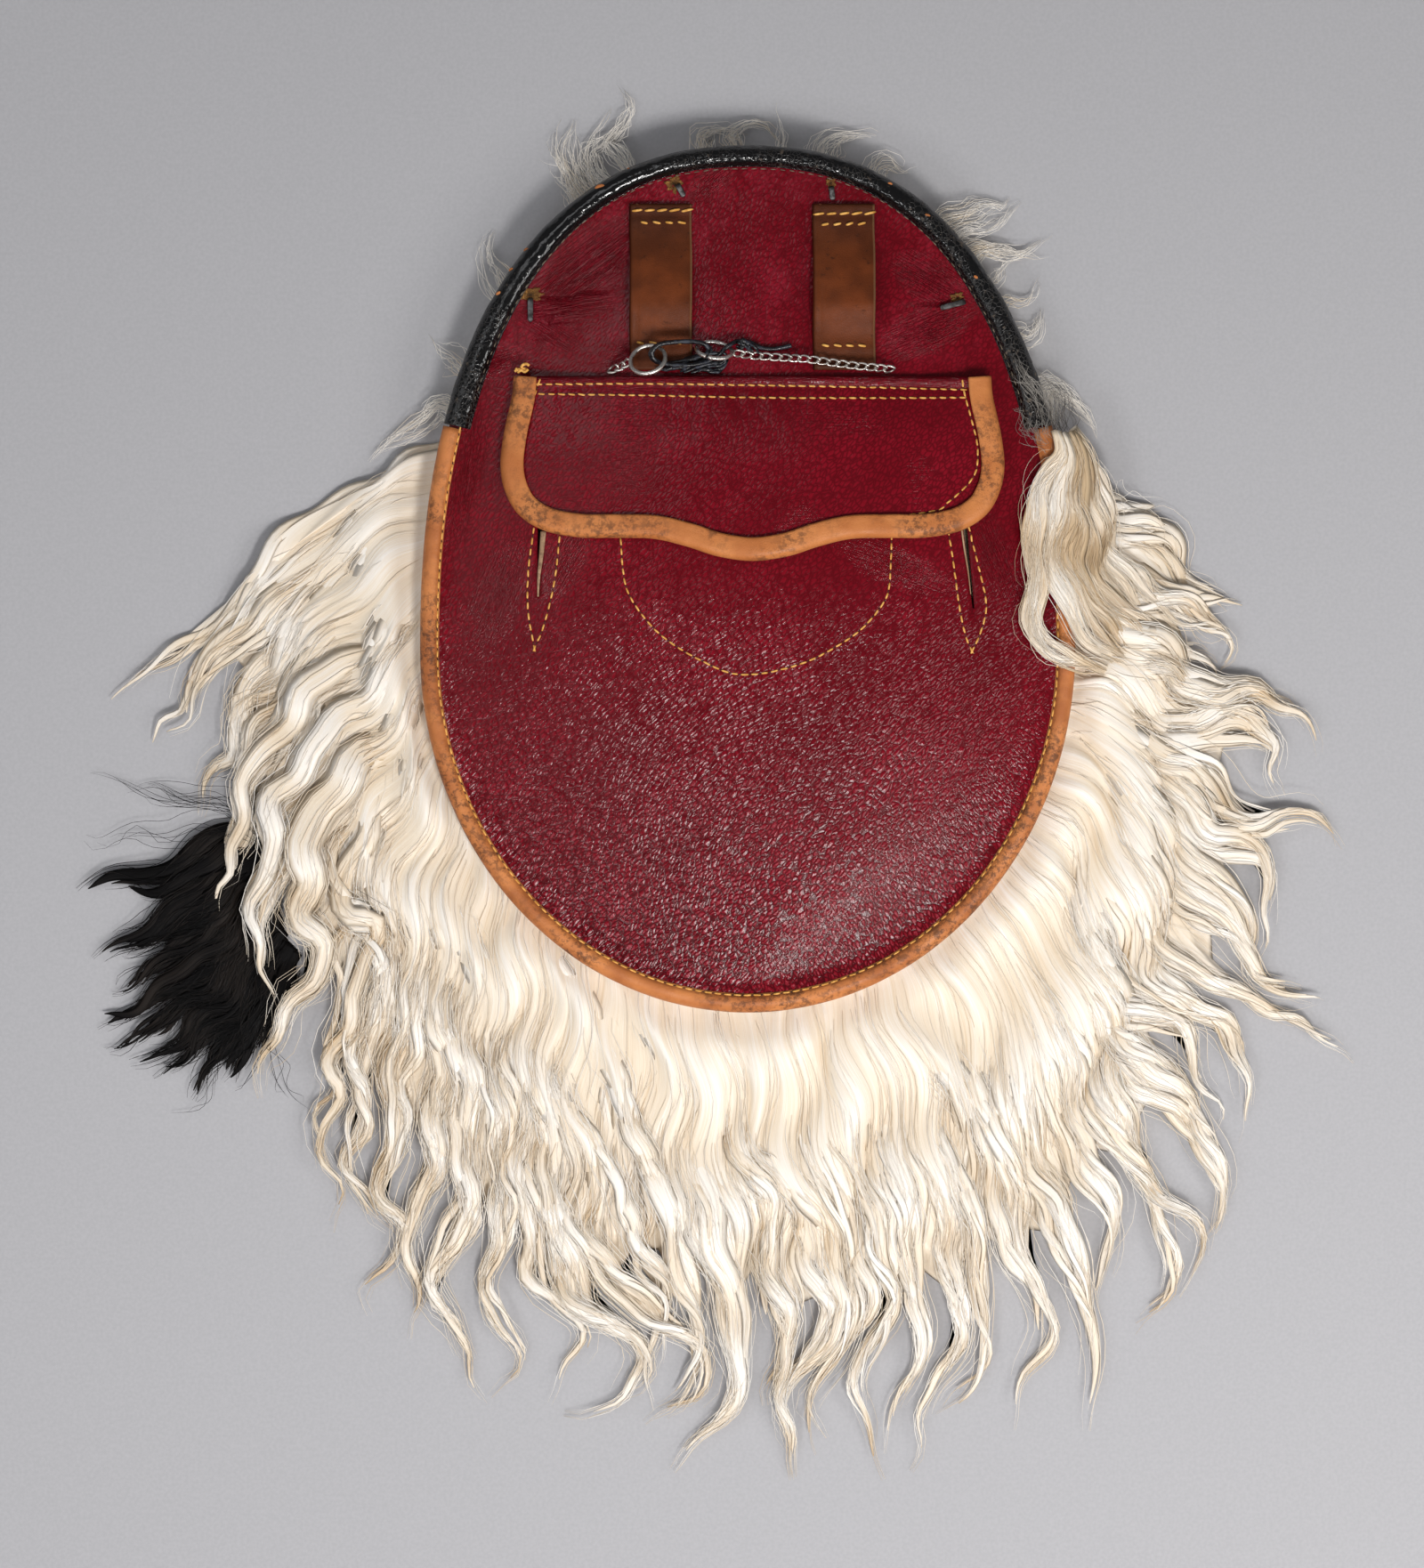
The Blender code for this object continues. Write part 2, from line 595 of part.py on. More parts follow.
def ring(name, x, y, z, turn, tilt):
    """A round wire ring, leaning with its lower side up."""
    bpy.ops.mesh.primitive_torus_add(
        major_radius=RING_RADIUS, minor_radius=RING_WIRE / 2, major_segments=28, minor_segments=8
    )
    made = bpy.context.object
    mesh = made.data
    bpy.data.objects.remove(made)
    shade_round(mesh)
    piece = add_piece(name, mesh, "steel")
    piece.rotation_euler = (-np.radians(tilt), 0.0, np.radians(turn))
    piece.location = (x * MM, y * MM, z * MM)


def over_back(route, count):
    """A smooth line through rows (x, y, height above the back wall), in millimetres."""
    route = np.array(route) * MM
    route[:, 2] += back_surface(route[:, 0], route[:, 1])
    return smooth_line(route, count)


# The thong, from its frayed end through two turns round both rings to the knot and the free tail
THONG_ROUTE = (  # x, y, height above the back wall, all in mm
    (-25.4, 94.3, 3.6), (-20.6, 94.8, 3.6), (-16.8, 96.2, 3.3), (-13.3, 98.2, 2.6),
    (-12.5, 100.6, 4.2), (-15.2, 102.6, 6.3), (-20.2, 103.0, 6.2), (-25.4, 102.9, 6.4),
    (-29.8, 102.1, 7.2), (-32.7, 99.5, 6.4), (-31.4, 96.7, 4.7), (-27.4, 95.9, 3.8),
    (-22.4, 96.5, 3.8), (-17.2, 97.6, 4.4), (-13.1, 99.6, 6.4),
    (-14.6, 102.2, 8.2), (-18.8, 103.0, 8.2), (-24.0, 102.8, 8.4), (-29.6, 101.9, 9.1),
    (-32.2, 99.2, 8.2), (-30.8, 96.6, 6.5), (-26.2, 95.4, 5.7), (-20.8, 95.1, 5.7),
    (-16.8, 95.6, 5.0), (-13.0, 96.7, 3.2), (-9.8, 98.6, 3.2), (-6.9, 101.4, 5.1),
    (-3.4, 103.4, 3.2), (0.6, 103.2, 1.5), (4.0, 101.4, 1.3), (8.4, 100.8, 1.25),
    (14.7, 102.0, 1.25),
)


def fittings():
    """Two rings, the chain between them and the flap, its stub on the left, and the thong."""
    for row in RINGS:
        ring(*row)
    tube("chain", over_back(CHAIN_ROUTE, CHAIN_POINTS), CHAIN_WIDTH, "steel")
    stub = over_back(CHAIN_STUB_ROUTE, CHAIN_STUB_POINTS)
    tube("chain_stub", stub, CHAIN_STUB_WIDTH, "steel", sides=1)
    tube("thong", over_back(THONG_ROUTE, THONG_POINTS), THONG_THICKNESS, "thong_leather")


# --- the hair ---------------------------------------------------------------------------------------


def white_hair():
    """The outer form of the hair: flat below, under the body, then a slope out to the tips."""
    turns = np.linspace(0.0, 2 * np.pi, HAIR_SPOKES, endpoint=False)
    table = np.array(HAIR_REACH, float)
    reach = np.interp(np.degrees(turns), table[:, 0], table[:, 1], period=360) * MM
    way = np.stack([np.cos(turns), np.sin(turns)], axis=1)
    radius = 1.0 / body_radius(way[:, 0], way[:, 1])  # of the body's outline in each direction
    room = reach - radius
    springy = np.clip(room / HAIR_FULL_ROOM, 0.0, 1.0)
    puff = HAIR_UNDER_EDGE + (HAIR_PUFF - HAIR_UNDER_EDGE) * springy
    middle = HAIR_TIP + (puff - HAIR_TIP) * HAIR_MIDDLE_HEIGHT
    flat = np.full(HAIR_SPOKES, 1.0)
    rows = [  # distance from the middle, height
        (radius - HAIR_CORE, flat * HAIR_UNDER_FRONT),
        (radius - HAIR_STEP[0], flat * HAIR_UNDER_FRONT),
        (radius - HAIR_STEP[1], flat * HAIR_UNDER_EDGE),
        (radius + HAIR_CLEAR, flat * HAIR_UNDER_EDGE),
        (radius + np.minimum(HAIR_SPRING, room / 2), puff),
        (radius + HAIR_MIDDLE * room, middle),
        (reach, flat * HAIR_TIP),
        (reach, flat * 0.0),
        (radius - HAIR_CORE, flat * 0.0),
    ]
    sections = np.empty((len(rows), HAIR_SPOKES, 3))
    for section, (distance, height) in zip(sections, rows):
        section[:, :2] = way * distance[:, None]
        section[:, 2] = height
    loft("white_hair", sections, "white_hair")


def black_tassel():
    """The tassel's outer form, lying beside the white hair: domed above and flat below."""
    over = np.linspace(np.pi, 0.0, TASSEL_POINTS)
    sections = []
    for x, low, high, height in np.array(TASSEL_STATIONS) * MM:
        middle, half = (low + high) / 2, (high - low) / 2
        dome = height * np.sin(over) ** TASSEL_ROUNDNESS
        across = middle + half * np.cos(over)
        sections.append(np.column_stack([np.full(TASSEL_POINTS, x), across, dome]))
    loft("black_tassel", np.array(sections), "black_hair")


def edge_lock():
    """The lock of hair that lies over the body's right edge."""
    sections = []
    for y, inner, outer, top in np.array(EDGE_LOCK_STATIONS) * MM:
        width = outer - inner
        step = min(max(BODY_HALF_WIDTH, inner), outer - 2 * EDGE_LOCK_CLEAR) + EDGE_LOCK_CLEAR
        half_way = (EDGE_LOCK_OVER_BODY + top) / 2
        profile = [
            (inner, EDGE_LOCK_OVER_BODY),
            (inner + EDGE_LOCK_SHOULDERS[0] * width, half_way + EDGE_LOCK_RISE),
            (inner + width / 2, top),
            (outer - EDGE_LOCK_SHOULDERS[1] * width, top - EDGE_LOCK_FALL),
            (outer, EDGE_LOCK_OVER_HAIR + EDGE_LOCK_FOOT[1]),
            (outer - EDGE_LOCK_FOOT[0], EDGE_LOCK_OVER_HAIR),
            (step, EDGE_LOCK_OVER_HAIR),
            (step - EDGE_LOCK_STEP, EDGE_LOCK_OVER_BODY),
        ]
        sections.append([(x, y, z) for x, z in profile])
    loft("edge_lock", np.array(sections), "white_hair")


front_panel()
back_panel()
edge_pieces()
flap_pieces()
for loop_name, loop_middle in LOOPS:
    belt_loop(loop_name, loop_middle)
for pin in PINS:
    cantle_pin(*pin)
fittings()
white_hair()
black_tassel()
edge_lock()
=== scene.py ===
# %% [markdown]
# # A Highland hair sporran, lying face down
# This file dresses a packed solid model in its real looks. The solids stay where they are: they
# hold the sizes, and every piece made here sits where its solid is. Read the cells in order. Each
# one says what a piece is on the real sporran, how it could be made, and why it is made this way.

# %% Load the frame
import functools

import bmesh
import bpy
import numpy as np
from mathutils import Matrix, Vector


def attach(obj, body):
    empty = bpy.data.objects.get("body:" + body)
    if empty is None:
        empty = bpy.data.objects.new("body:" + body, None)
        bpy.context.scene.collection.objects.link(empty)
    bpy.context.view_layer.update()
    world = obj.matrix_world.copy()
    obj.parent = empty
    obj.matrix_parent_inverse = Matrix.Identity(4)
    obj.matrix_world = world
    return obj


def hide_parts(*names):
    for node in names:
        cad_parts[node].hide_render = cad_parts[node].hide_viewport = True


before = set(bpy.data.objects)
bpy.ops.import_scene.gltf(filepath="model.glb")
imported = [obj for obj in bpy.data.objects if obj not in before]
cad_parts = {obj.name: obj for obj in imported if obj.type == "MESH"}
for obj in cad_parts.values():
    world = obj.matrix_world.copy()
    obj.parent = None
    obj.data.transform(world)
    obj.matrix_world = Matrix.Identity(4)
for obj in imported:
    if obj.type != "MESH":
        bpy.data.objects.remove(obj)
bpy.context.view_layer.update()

MM = 0.001

# %% [markdown]
# ## The photograph's frame
# A shape that was read off the photograph is written in the photograph's own pixels, because the
# next reader can then find it again. One function turns such pixels into metres on the table. The
# picture looks straight down, so a pixel is simply 0.3 mm, and y has its sign turned round.

# %% From pixels to metres
PICTURE = np.array([1600, 1762])  # pixels, across and down
PIXEL = 0.3 * MM
VIEW_AT = np.array([4.36, 5.07]) * MM  # what the middle of the picture looks at
BODY_AT = np.array([16.36, 50.37]) * MM  # the middle of the leather body's widest row


def from_pixels(points):
    """Metres on the table: (pixel - the picture's middle) x 0.3 mm, y turned round, + VIEW_AT."""
    return (np.asarray(points, float) - PICTURE / 2) * (PIXEL, -PIXEL) + VIEW_AT


print("a stitch 12 pixels long is", round(12 * PIXEL / MM, 1), "mm")

# %% [markdown]
# ## Camera
# A long lens from far above keeps tall and low parts at the same scale, as a product picture does.
# The lens is worked out from the distance and from how much of the table the picture shows.

# %% Place the camera
CAMERA_HEIGHT = 2.6
SHARP_HEIGHT = 0.016  # the height on the object where a pixel is 0.3 mm
SENSOR = 36.0
camera_data = bpy.data.cameras.new("camera")
camera_data.sensor_width = SENSOR
camera_data.lens = SENSOR * (CAMERA_HEIGHT - SHARP_HEIGHT) / (PICTURE.max() * PIXEL)
camera = bpy.data.objects.new("camera", camera_data)
camera.location = (*VIEW_AT, CAMERA_HEIGHT)
bpy.context.scene.collection.objects.link(camera)
bpy.context.scene.camera = camera
print("lens in mm:", round(camera_data.lens, 1))

# %% [markdown]
# ## Smooth lines and smooth noise
# Three small tools do most of the shaping. A smooth step goes from 0 to 1 without a corner. A
# smooth line passes through a few chosen points. Smooth noise is a random height that changes
# slowly from place to place, for everything that age has made uneven.

# %% Shaping tools
LATTICE = np.random.default_rng(7).uniform(-1.0, 1.0, (64, 64, 16))
SPAN_STEPS = 24  # points worked out between two chosen points


def smooth_step(t):
    """t x t x (3 - 2t), with t held between 0 and 1."""
    t = np.clip(t, 0.0, 1.0)
    return t * t * (3.0 - 2.0 * t)


def smooth_noise(x, y, size, kind=0):
    """Random lattice values, size apart, blended across each cell with smooth steps."""
    u, v = np.asarray(x) / size, np.asarray(y) / size
    i, j = np.floor(u).astype(int), np.floor(v).astype(int)
    a, b = smooth_step(u - i), smooth_step(v - j)
    value = LATTICE[:, :, kind % 16]
    i, j, right, above = i % 64, j % 64, (i + 1) % 64, (j + 1) % 64
    low = value[i, j] * (1 - a) + value[right, j] * a
    high = value[i, above] * (1 - a) + value[right, above] * a
    return low * (1 - b) + high * b


def smooth_line(points, count):
    """Catmull-Rom: each span is a cubic whose slope at a point is half the step between its
    neighbours. Then count points are taken at even steps of length."""
    knots = np.asarray(points, float)
    padded = np.vstack([2 * knots[0] - knots[1], knots, 2 * knots[-1] - knots[-2]])
    t = np.linspace(0.0, 1.0, SPAN_STEPS, endpoint=False)[:, None]
    a, b, c, d = (padded[k : len(padded) - 3 + k, None] for k in range(4))
    spans = 2 * b + (c - a) * t + (2 * a - 5 * b + 4 * c - d) * t**2
    spans = spans + (3 * b - a - 3 * c + d) * t**3
    line = np.vstack([0.5 * spans.reshape(-1, knots.shape[1]), knots[-1:]])
    return even_steps(line, count)


def even_steps(line, count):
    """Points at equal distances along a line, straight between its own points."""
    run = np.concatenate([[0.0], np.cumsum(np.linalg.norm(np.diff(line, axis=0), axis=1))])
    at = np.linspace(0.0, run[-1], count)
    return np.stack([np.interp(at, run, column) for column in line.T], axis=1)


def traced(pixels, count):
    """A smooth line through pixels x, y, x, y ... of the photograph, from the body's middle."""
    return smooth_line(from_pixels(np.reshape(pixels, (-1, 2))) - BODY_AT, count)


def once_round(count):
    """Angles at even steps once round, in radians."""
    return np.linspace(0.0, 2 * np.pi, count, endpoint=False)


print("noise at the origin:", round(float(smooth_noise(0.0, 0.0, 1.0)), 3))

# %% [markdown]
# ## The body's shape, as a formula
# The leather body is wider than a circle at the top and a plain half ellipse at the bottom. Its
# back bulges: the height falls from the middle to a flat margin, where the edge is bound. The
# same few sizes made the solids, so whatever is laid on the back lies on it here too.

# %% The body's outline and its bulge
HALF_WIDTH = 110.5 * MM
RISE, RISE_POWER = 170.0 * MM, 2.3
DROP, DROP_POWER = 122.4 * MM, 2.0
FRONT_Z = 12.3 * MM
WALL = 2.0 * MM
GAP = 0.3 * MM
BACK_Z = FRONT_Z + WALL + GAP
CROWN, CROWN_REACH, CROWN_POWER, CROWN_SOFTNESS = 13.0 * MM, 0.915, 2.4, 1.25


def halves(y):
    """Height and power of the half of the outline that y is in."""
    up = np.asarray(y) >= 0
    return np.where(up, RISE, DROP), np.where(up, RISE_POWER, DROP_POWER)


def body_radius(x, y):
    """(|x / half width| ^ power + |y / height| ^ power) ^ (1 / power): 1 on the outline."""
    height, power = halves(y)
    return (np.abs(x / HALF_WIDTH) ** power + np.abs(y / height) ** power) ** (1 / power)


def body_edge(turns, inset=0.0):
    """The outline at angles turns: half width x cos ^ (2 / power), height x sin ^ (2 / power),
    then moved by inset along the outline's own normal."""
    cosine, sine = np.cos(turns), np.sin(turns)
    height, power = halves(sine)
    x = HALF_WIDTH * np.sign(cosine) * np.abs(cosine) ** (2 / power)
    y = height * np.sign(sine) * np.abs(sine) ** (2 / power)
    across = np.sign(x) * np.abs(x / HALF_WIDTH) ** (power - 1) / HALF_WIDTH
    along = np.sign(y) * np.abs(y / height) ** (power - 1) / height
    length = np.hypot(across, along)
    return np.stack([x - inset * across / length, y - inset * along / length], axis=-1)


def back_surface(x, y):
    """Height of the back: its margin's height + CROWN x (1 - (radius / reach) ^ 2.4) ^ 1.25."""
    inside = np.clip(body_radius(x, y) / CROWN_REACH, 0.0, 1.0)
    return BACK_Z + WALL + CROWN * (1.0 - inside**CROWN_POWER) ** CROWN_SOFTNESS


print("the back is highest at", round(float(back_surface(0.0, 0.0)) / MM, 1), "mm")

# %% [markdown]
# ## Meshes from whole arrays
# A mesh is a list of points and a list of faces. Both are worked out here as arrays, with no loop
# over points: a grid for a sheet, a row of closed sections for a bar, and many thin tubes at once
# for stitches, links and hair. Each way closes its ends, so that no piece has a hole in it.


# %% Directions and faces
def unit(vectors):
    """Vectors over their own lengths."""
    return vectors / (np.linalg.norm(vectors, axis=-1, keepdims=True) + 1e-12)


def frames(paths):
    """Across = direction of travel x vertical, and up = across x direction of travel."""
    travel = unit(np.gradient(paths, axis=-2))
    across = unit(np.cross(travel, (0.0, 0.0, 1.0)))
    return across, np.cross(across, travel)


def grid_faces(rows, columns, closed=True):
    """Four-sided faces between neighbouring rows; closed joins the last column to the first."""
    index = np.arange(rows * columns).reshape(rows, columns)
    if closed:
        index = np.hstack([index, index[:, :1]])
    corners = (index[:-1, :-1], index[1:, :-1], index[1:, 1:], index[:-1, 1:])
    return np.stack(corners, axis=-1).reshape(-1, 4)


def end_fans(stations, around):
    """Faces that join the first and the last section to two points that come after all sections."""
    first = np.arange(around)
    last = first + (stations - 1) * around
    middle = np.full(around, stations * around)
    start = np.stack([middle, first, np.roll(first, -1)], axis=1)
    return np.vstack([start, np.stack([middle + 1, np.roll(last, -1), last], axis=1)])


print("faces of a bar with 3 sections of 4 points:", len(grid_faces(3, 4)) + len(end_fans(3, 4)))


# %% Mesh tools
def add_piece(name, points, quads, triangles, finish, stands_for=(), values=None):
    """A piece from arrays, in metres from the body's middle. It rides on the body, takes a slot
    and may stand for CAD nodes."""
    points, triangles = on_body(points.reshape(-1, 3)), np.asarray(triangles, int).reshape(-1, 3)
    corners = np.concatenate([quads.ravel(), triangles.ravel()]).astype(np.int32)
    sizes = np.concatenate([np.full(len(quads), 4), np.full(len(triangles), 3)]).astype(np.int32)
    mesh = bpy.data.meshes.new(name)
    mesh.vertices.add(len(points))
    mesh.vertices.foreach_set("co", points.ravel())
    mesh.loops.add(len(corners))
    mesh.loops.foreach_set("vertex_index", corners)
    mesh.polygons.add(len(sizes))
    mesh.polygons.foreach_set("loop_start", np.concatenate([[0], np.cumsum(sizes)[:-1]]))
    mesh.polygons.foreach_set("use_smooth", np.ones(len(sizes), bool))
    mesh.update(calc_edges=True)
    for key, value in (values or {}).items():
        mesh.attributes.new(key, "FLOAT", "POINT").data.foreach_set("value", value.ravel())
    mesh.validate()
    piece = bpy.data.objects.new(name, mesh)
    bpy.context.scene.collection.objects.link(piece)
    mesh.materials.append(finish)
    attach(piece, "root")
    if stands_for:
        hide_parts(*stands_for)
    print(name, "triangles:", int((sizes - 2).sum()))
    return piece


def on_body(points):
    """Points from the body's middle, moved to its place on the table."""
    return points + (*BODY_AT, 0.0)


def keep_place(piece, name, place):
    """Keeps three numbers at each point: its place in a lock or a wrinkle, in millimetres."""
    kept = piece.data.attributes.new(name, "FLOAT_VECTOR", "POINT")
    kept.data.foreach_set("vector", np.ascontiguousarray(place, dtype=np.float32).ravel())


def bar(name, sections, finish, stands_for=(), values=None):
    """A solid through closed sections (stations, around, 3), both ends closed by a fan of faces.
    If its volume comes out negative, the faces are turned round so that they point outwards."""
    stations, around, _ = sections.shape
    ends = sections[[0, -1]].mean(axis=1)
    points = np.concatenate([sections.reshape(-1, 3), ends])
    quads, triangles = grid_faces(stations, around), end_fans(stations, around)
    closed = np.vstack([quads[:, [0, 1, 2]], quads[:, [0, 2, 3]], triangles])
    a, b, c = (points[closed[:, k]] for k in (0, 1, 2))
    if np.einsum("ij,ij->", a, np.cross(b, c)) < 0:
        quads, triangles = quads[:, ::-1], triangles[:, ::-1]
    if values:
        values = {key: np.append(value.ravel(), [value[0].mean(), value[-1].mean()])
                  for key, value in values.items()}
    return add_piece(name, points, quads, triangles, finish, stands_for, values)


def tubes(paths, wide, high, sides, spin=0.0):
    """Many closed tubes at once. paths is (tubes, stations, 3). Each section is an ellipse:
    centre + across x wide x cos + up x high x sin. One point closes each end."""
    count, stations, _ = paths.shape
    across, up = frames(paths)
    turns = once_round(sides) + spin
    wide = np.broadcast_to(wide, (count, stations))[..., None, None]
    high = np.broadcast_to(high, (count, stations))[..., None, None]
    ring = paths[:, :, None] + across[:, :, None] * wide * np.cos(turns)[:, None]
    ring = ring + up[:, :, None] * high * np.sin(turns)[:, None]
    points = np.concatenate([ring.reshape(count, -1, 3), paths[:, [0, -1]]], axis=1)
    step = (np.arange(count) * points.shape[1])[:, None, None]
    quads, triangles = grid_faces(stations, sides) + step, end_fans(stations, sides) + step
    return points, quads.reshape(-1, 4), triangles.reshape(-1, 3)


def add_tubes(name, paths, wide, high, sides, finish):
    """All tubes of one kind, as one piece."""
    points, quads, triangles = tubes(paths, wide, high, sides)
    add_piece(name, points, quads, triangles, finish)


print("one short tube has", tubes(np.eye(3)[None], 1.0, 1.0, 4)[0].shape[1], "points")

# %% [markdown]
# ## Finishes
# A finish is a small network of nodes that ends in one Principled shader. Building it with the
# mouse would be quick for one, but this object has twenty, so a few helpers write them. All
# patterns read Object coordinates, which are metres, or a value kept on the mesh's own points.


# %% Helpers for finishes
class Finish:
    """A material with one Principled shader, and short ways to add the nodes that feed it."""

    def __init__(self, name, **sockets):
        """sockets are constant numbers for the shader, such as metallic=1.0."""
        self.material = bpy.data.materials.new(name)
        self.material.use_nodes = True
        self.nodes = self.material.node_tree.nodes
        self.links = self.material.node_tree.links
        self.shader = self.nodes["Principled BSDF"]
        for socket, value in sockets.items():
            title = socket.replace("_", " ").title().replace("Ior", "IOR")
            self.shader.inputs[title].default_value = value
        self.place = self.add("ShaderNodeTexCoord", {}).outputs["Object"]

    def add(self, kind, inputs, **settings):
        """A node; each input is a number, a colour or another node's output."""
        node = self.nodes.new(kind)
        for key, value in settings.items():
            setattr(node, key, value)
        for key, value in inputs.items():
            if isinstance(value, bpy.types.NodeSocket):
                self.links.new(value, node.inputs[key])
            else:
                node.inputs[key].default_value = value
        return node

    def math(self, operation, a, b):
        """One operation on two numbers or outputs."""
        return self.add("ShaderNodeMath", {0: a, 1: b}, operation=operation).outputs[0]

    def times(self, *values):
        """The product of all values."""
        return functools.reduce(functools.partial(self.math, "MULTIPLY"), values)

    def plus(self, a, b):
        """a + b."""
        return self.math("ADD", a, b)

    def stretch(self, scale, turn=0.0, place=None):
        """Coordinates turned back by turn about the vertical, then scaled along each axis, so
        that a scale below 1 along x draws a pattern out along the direction turn."""
        inverse = tuple(1.0 / part for part in scale)
        inputs = {"Vector": place or self.place, "Scale": inverse, "Rotation": (0.0, 0.0, turn)}
        return self.add("ShaderNodeMapping", inputs, vector_type="TEXTURE").outputs[0]

    def noise(self, scale, detail=2.0, place=None, rough=0.5):
        """Clouds between 0 and 1, about scale of them to the metre."""
        inputs = {"Vector": place or self.place, "Scale": scale, "Detail": detail}
        return self.add("ShaderNodeTexNoise", {**inputs, "Roughness": rough}).outputs[0]

    def bent(self, amount, scale, detail):
        """Coordinates pushed about: amount parts of noise and the rest of the true place."""
        inputs = {"Vector": self.place, "Scale": scale, "Detail": detail}
        push = self.add("ShaderNodeTexNoise", inputs).outputs[1]
        mixed = {0: amount, 4: self.place, 5: push}
        return self.add("ShaderNodeMix", mixed, data_type="VECTOR").outputs[1]

    def cells(self, scale, place=None, feature="DISTANCE_TO_EDGE"):
        """Distance to the border between Voronoi cells or, with F1, to the nearest middle."""
        inputs = {"Vector": place or self.place, "Scale": scale}
        return self.add("ShaderNodeTexVoronoi", inputs, feature=feature).outputs["Distance"]

    def value(self, name):
        """The number that the mesh keeps at each point under this name."""
        return self.add("ShaderNodeAttribute", {}, attribute_name=name).outputs["Fac"]

    def vector(self, name):
        """The three numbers that the mesh keeps at each point under this name."""
        return self.add("ShaderNodeAttribute", {}, attribute_name=name).outputs["Vector"]

    def range(self, value, low, high, to_low=0.0, to_high=1.0):
        """to_low where the value is low, to_high where it is high, a smooth step between."""
        inputs = {0: value, 1: low, 2: high, 3: to_low, 4: to_high}
        return self.add("ShaderNodeMapRange", inputs, interpolation_type="SMOOTHSTEP").outputs[0]

    def mix(self, factor, a, b):
        """Colour or number a where the factor is 0 and b where it is 1."""
        node = self.add("ShaderNodeMix", {}, data_type="RGBA")
        for socket, value in ((node.inputs[0], factor), (node.inputs[6], a), (node.inputs[7], b)):
            if isinstance(value, bpy.types.NodeSocket):
                self.links.new(value, socket)
            else:
                socket.default_value = value if np.isscalar(value) else (*value, 1.0)
        return node.outputs[2]

    def bump(self, height, distance, strength, under=None):
        """A normal tilted as by height x distance, starting from the normal under it, if any."""
        inputs = {"Height": height, "Distance": distance, "Strength": strength}
        if under is not None:
            inputs["Normal"] = under
        return self.add("ShaderNodeBump", inputs).outputs[0]

    def finish(self, colour, roughness=None, normal=None):
        """Joins what was made to the shader."""
        for socket, value in (("Base Color", colour), ("Roughness", roughness), ("Normal", normal)):
            if value is not None:
                self.links.new(value, self.shader.inputs[socket])
        print("finish:", self.material.name, "with", len(self.nodes), "nodes")
        return self.material


print("ways to feed a finish:", [name for name in vars(Finish) if name[0] != "_"])


# %% [markdown]
# ## Crimson leather
# The back and the flap are goatskin with a pebble grain: small slanting ridges about a millimetre
# apart, and hardly any flat leather between them. That is why it sparkles: only the few slopes
# that face the lamp shine, and all others keep their deep red. An image would be quick but would
# repeat and blur. The distance to the border of a Voronoi cell is a roof with even slopes, so
# stretched cells, pushed about by noise, give the ridges. The creases between them get painted
# shade, and towards the foot the ridge tops get a painted highlight.

# %% Crimson leather
PEBBLES = 820.0  # to the metre


def crimson_leather():
    """Grain height = roofs of bent, slanting cells x noise, flatter towards the top, or creases
    where the mesh asks for them; tops are glossy, creases rough, with painted shade in the
    creases and a painted highlight on the tops towards the foot."""
    f = Finish("crimson_leather", specular_ior_level=0.20)
    bent = f.bent(0.0005, 380.0, 2.0)
    x, y, _ = f.add("ShaderNodeSeparateXYZ", {"Vector": f.place}).outputs
    # The ridges rise to the right, but fall to the right in the lower right part.
    slanted = [f.stretch((0.50, 1.0, 1.0), turn, bent) for turn in (0.85, 2.10)]
    rising, falling = (f.cells(PEBBLES, place) for place in slanted)
    to_right = f.range(f.math("SUBTRACT", x, y), 0.055, 0.115)
    roofs = f.add("ShaderNodeMix", {0: to_right, 2: rising, 3: falling}).outputs[0]
    roofs = f.plus(roofs, f.times(f.cells(1700.0, bent), 0.10))
    coarse = f.range(f.noise(900.0, 2.0), 0.3, 0.7, 1.1, 1.4)
    steep = f.times(f.range(y, -0.09, 0.03, 0.72, 1.10), f.range(y, 0.05, 0.085, 1.0, 0.42))
    grain = f.times(coarse, steep, roofs)
    lines = f.noise(1.0, 3.0, f.stretch((0.10, 1.9, 1.0), 0.0, f.vector("crease_place")), 0.6)
    creased = f.plus(f.times(f.range(lines, 0.40, 0.60), 1.3), f.times(grain, 0.3))
    height = f.mix(f.value("crease"), grain, creased)
    cloudy = f.range(f.noise(30.0, 5.0), 0.3, 0.7)
    deep = f.mix(cloudy, (0.150, 0.0024, 0.0078), (0.220, 0.0042, 0.0130))
    # Painted shade: the low creases between the ridges are a darker red.
    top = f.mix(f.range(roofs, 0.0, 0.30), (0.105, 0.0020, 0.0058), deep)
    # Towards the foot the ridge tops get a pale painted highlight and the creases between them
    # painted shade.
    low = f.range(y, -0.08, 0.05, 1.0, 0.0)
    painted_sheen = f.times(low, f.range(coarse, 1.1, 1.4), f.range(roofs, 0.20, 0.36))
    dark = f.times(f.range(roofs, 0.16, 0.04), low)
    top = f.mix(painted_sheen, f.mix(dark, top, (0.055, 0.0010, 0.0030)), (0.36, 0.070, 0.090))
    # Above the hem, belts have worn cloudy, speckled patches.
    wear_and_painted_light = f.range(f.noise(60.0, 6.0, rough=0.65), 0.46, 0.66)
    wear_and_painted_light = f.times(wear_and_painted_light, f.range(y, 0.135, 0.165, 0.15, 1.0))
    mottled = f.times(wear_and_painted_light, f.range(f.noise(900.0, 4.0, rough=0.7), 0.35, 0.65, 0.05, 0.5))
    top = f.mix(mottled, top, (0.30, 0.018, 0.036))
    swell = f.bump(f.noise(80.0, 3.0), 0.0010, 0.4)
    rough = f.range(height, 0.1, 0.85, 0.18, 0.11)
    return f.finish(top, rough, f.bump(height, 0.00030, 1.0, swell))


crimson = crimson_leather()

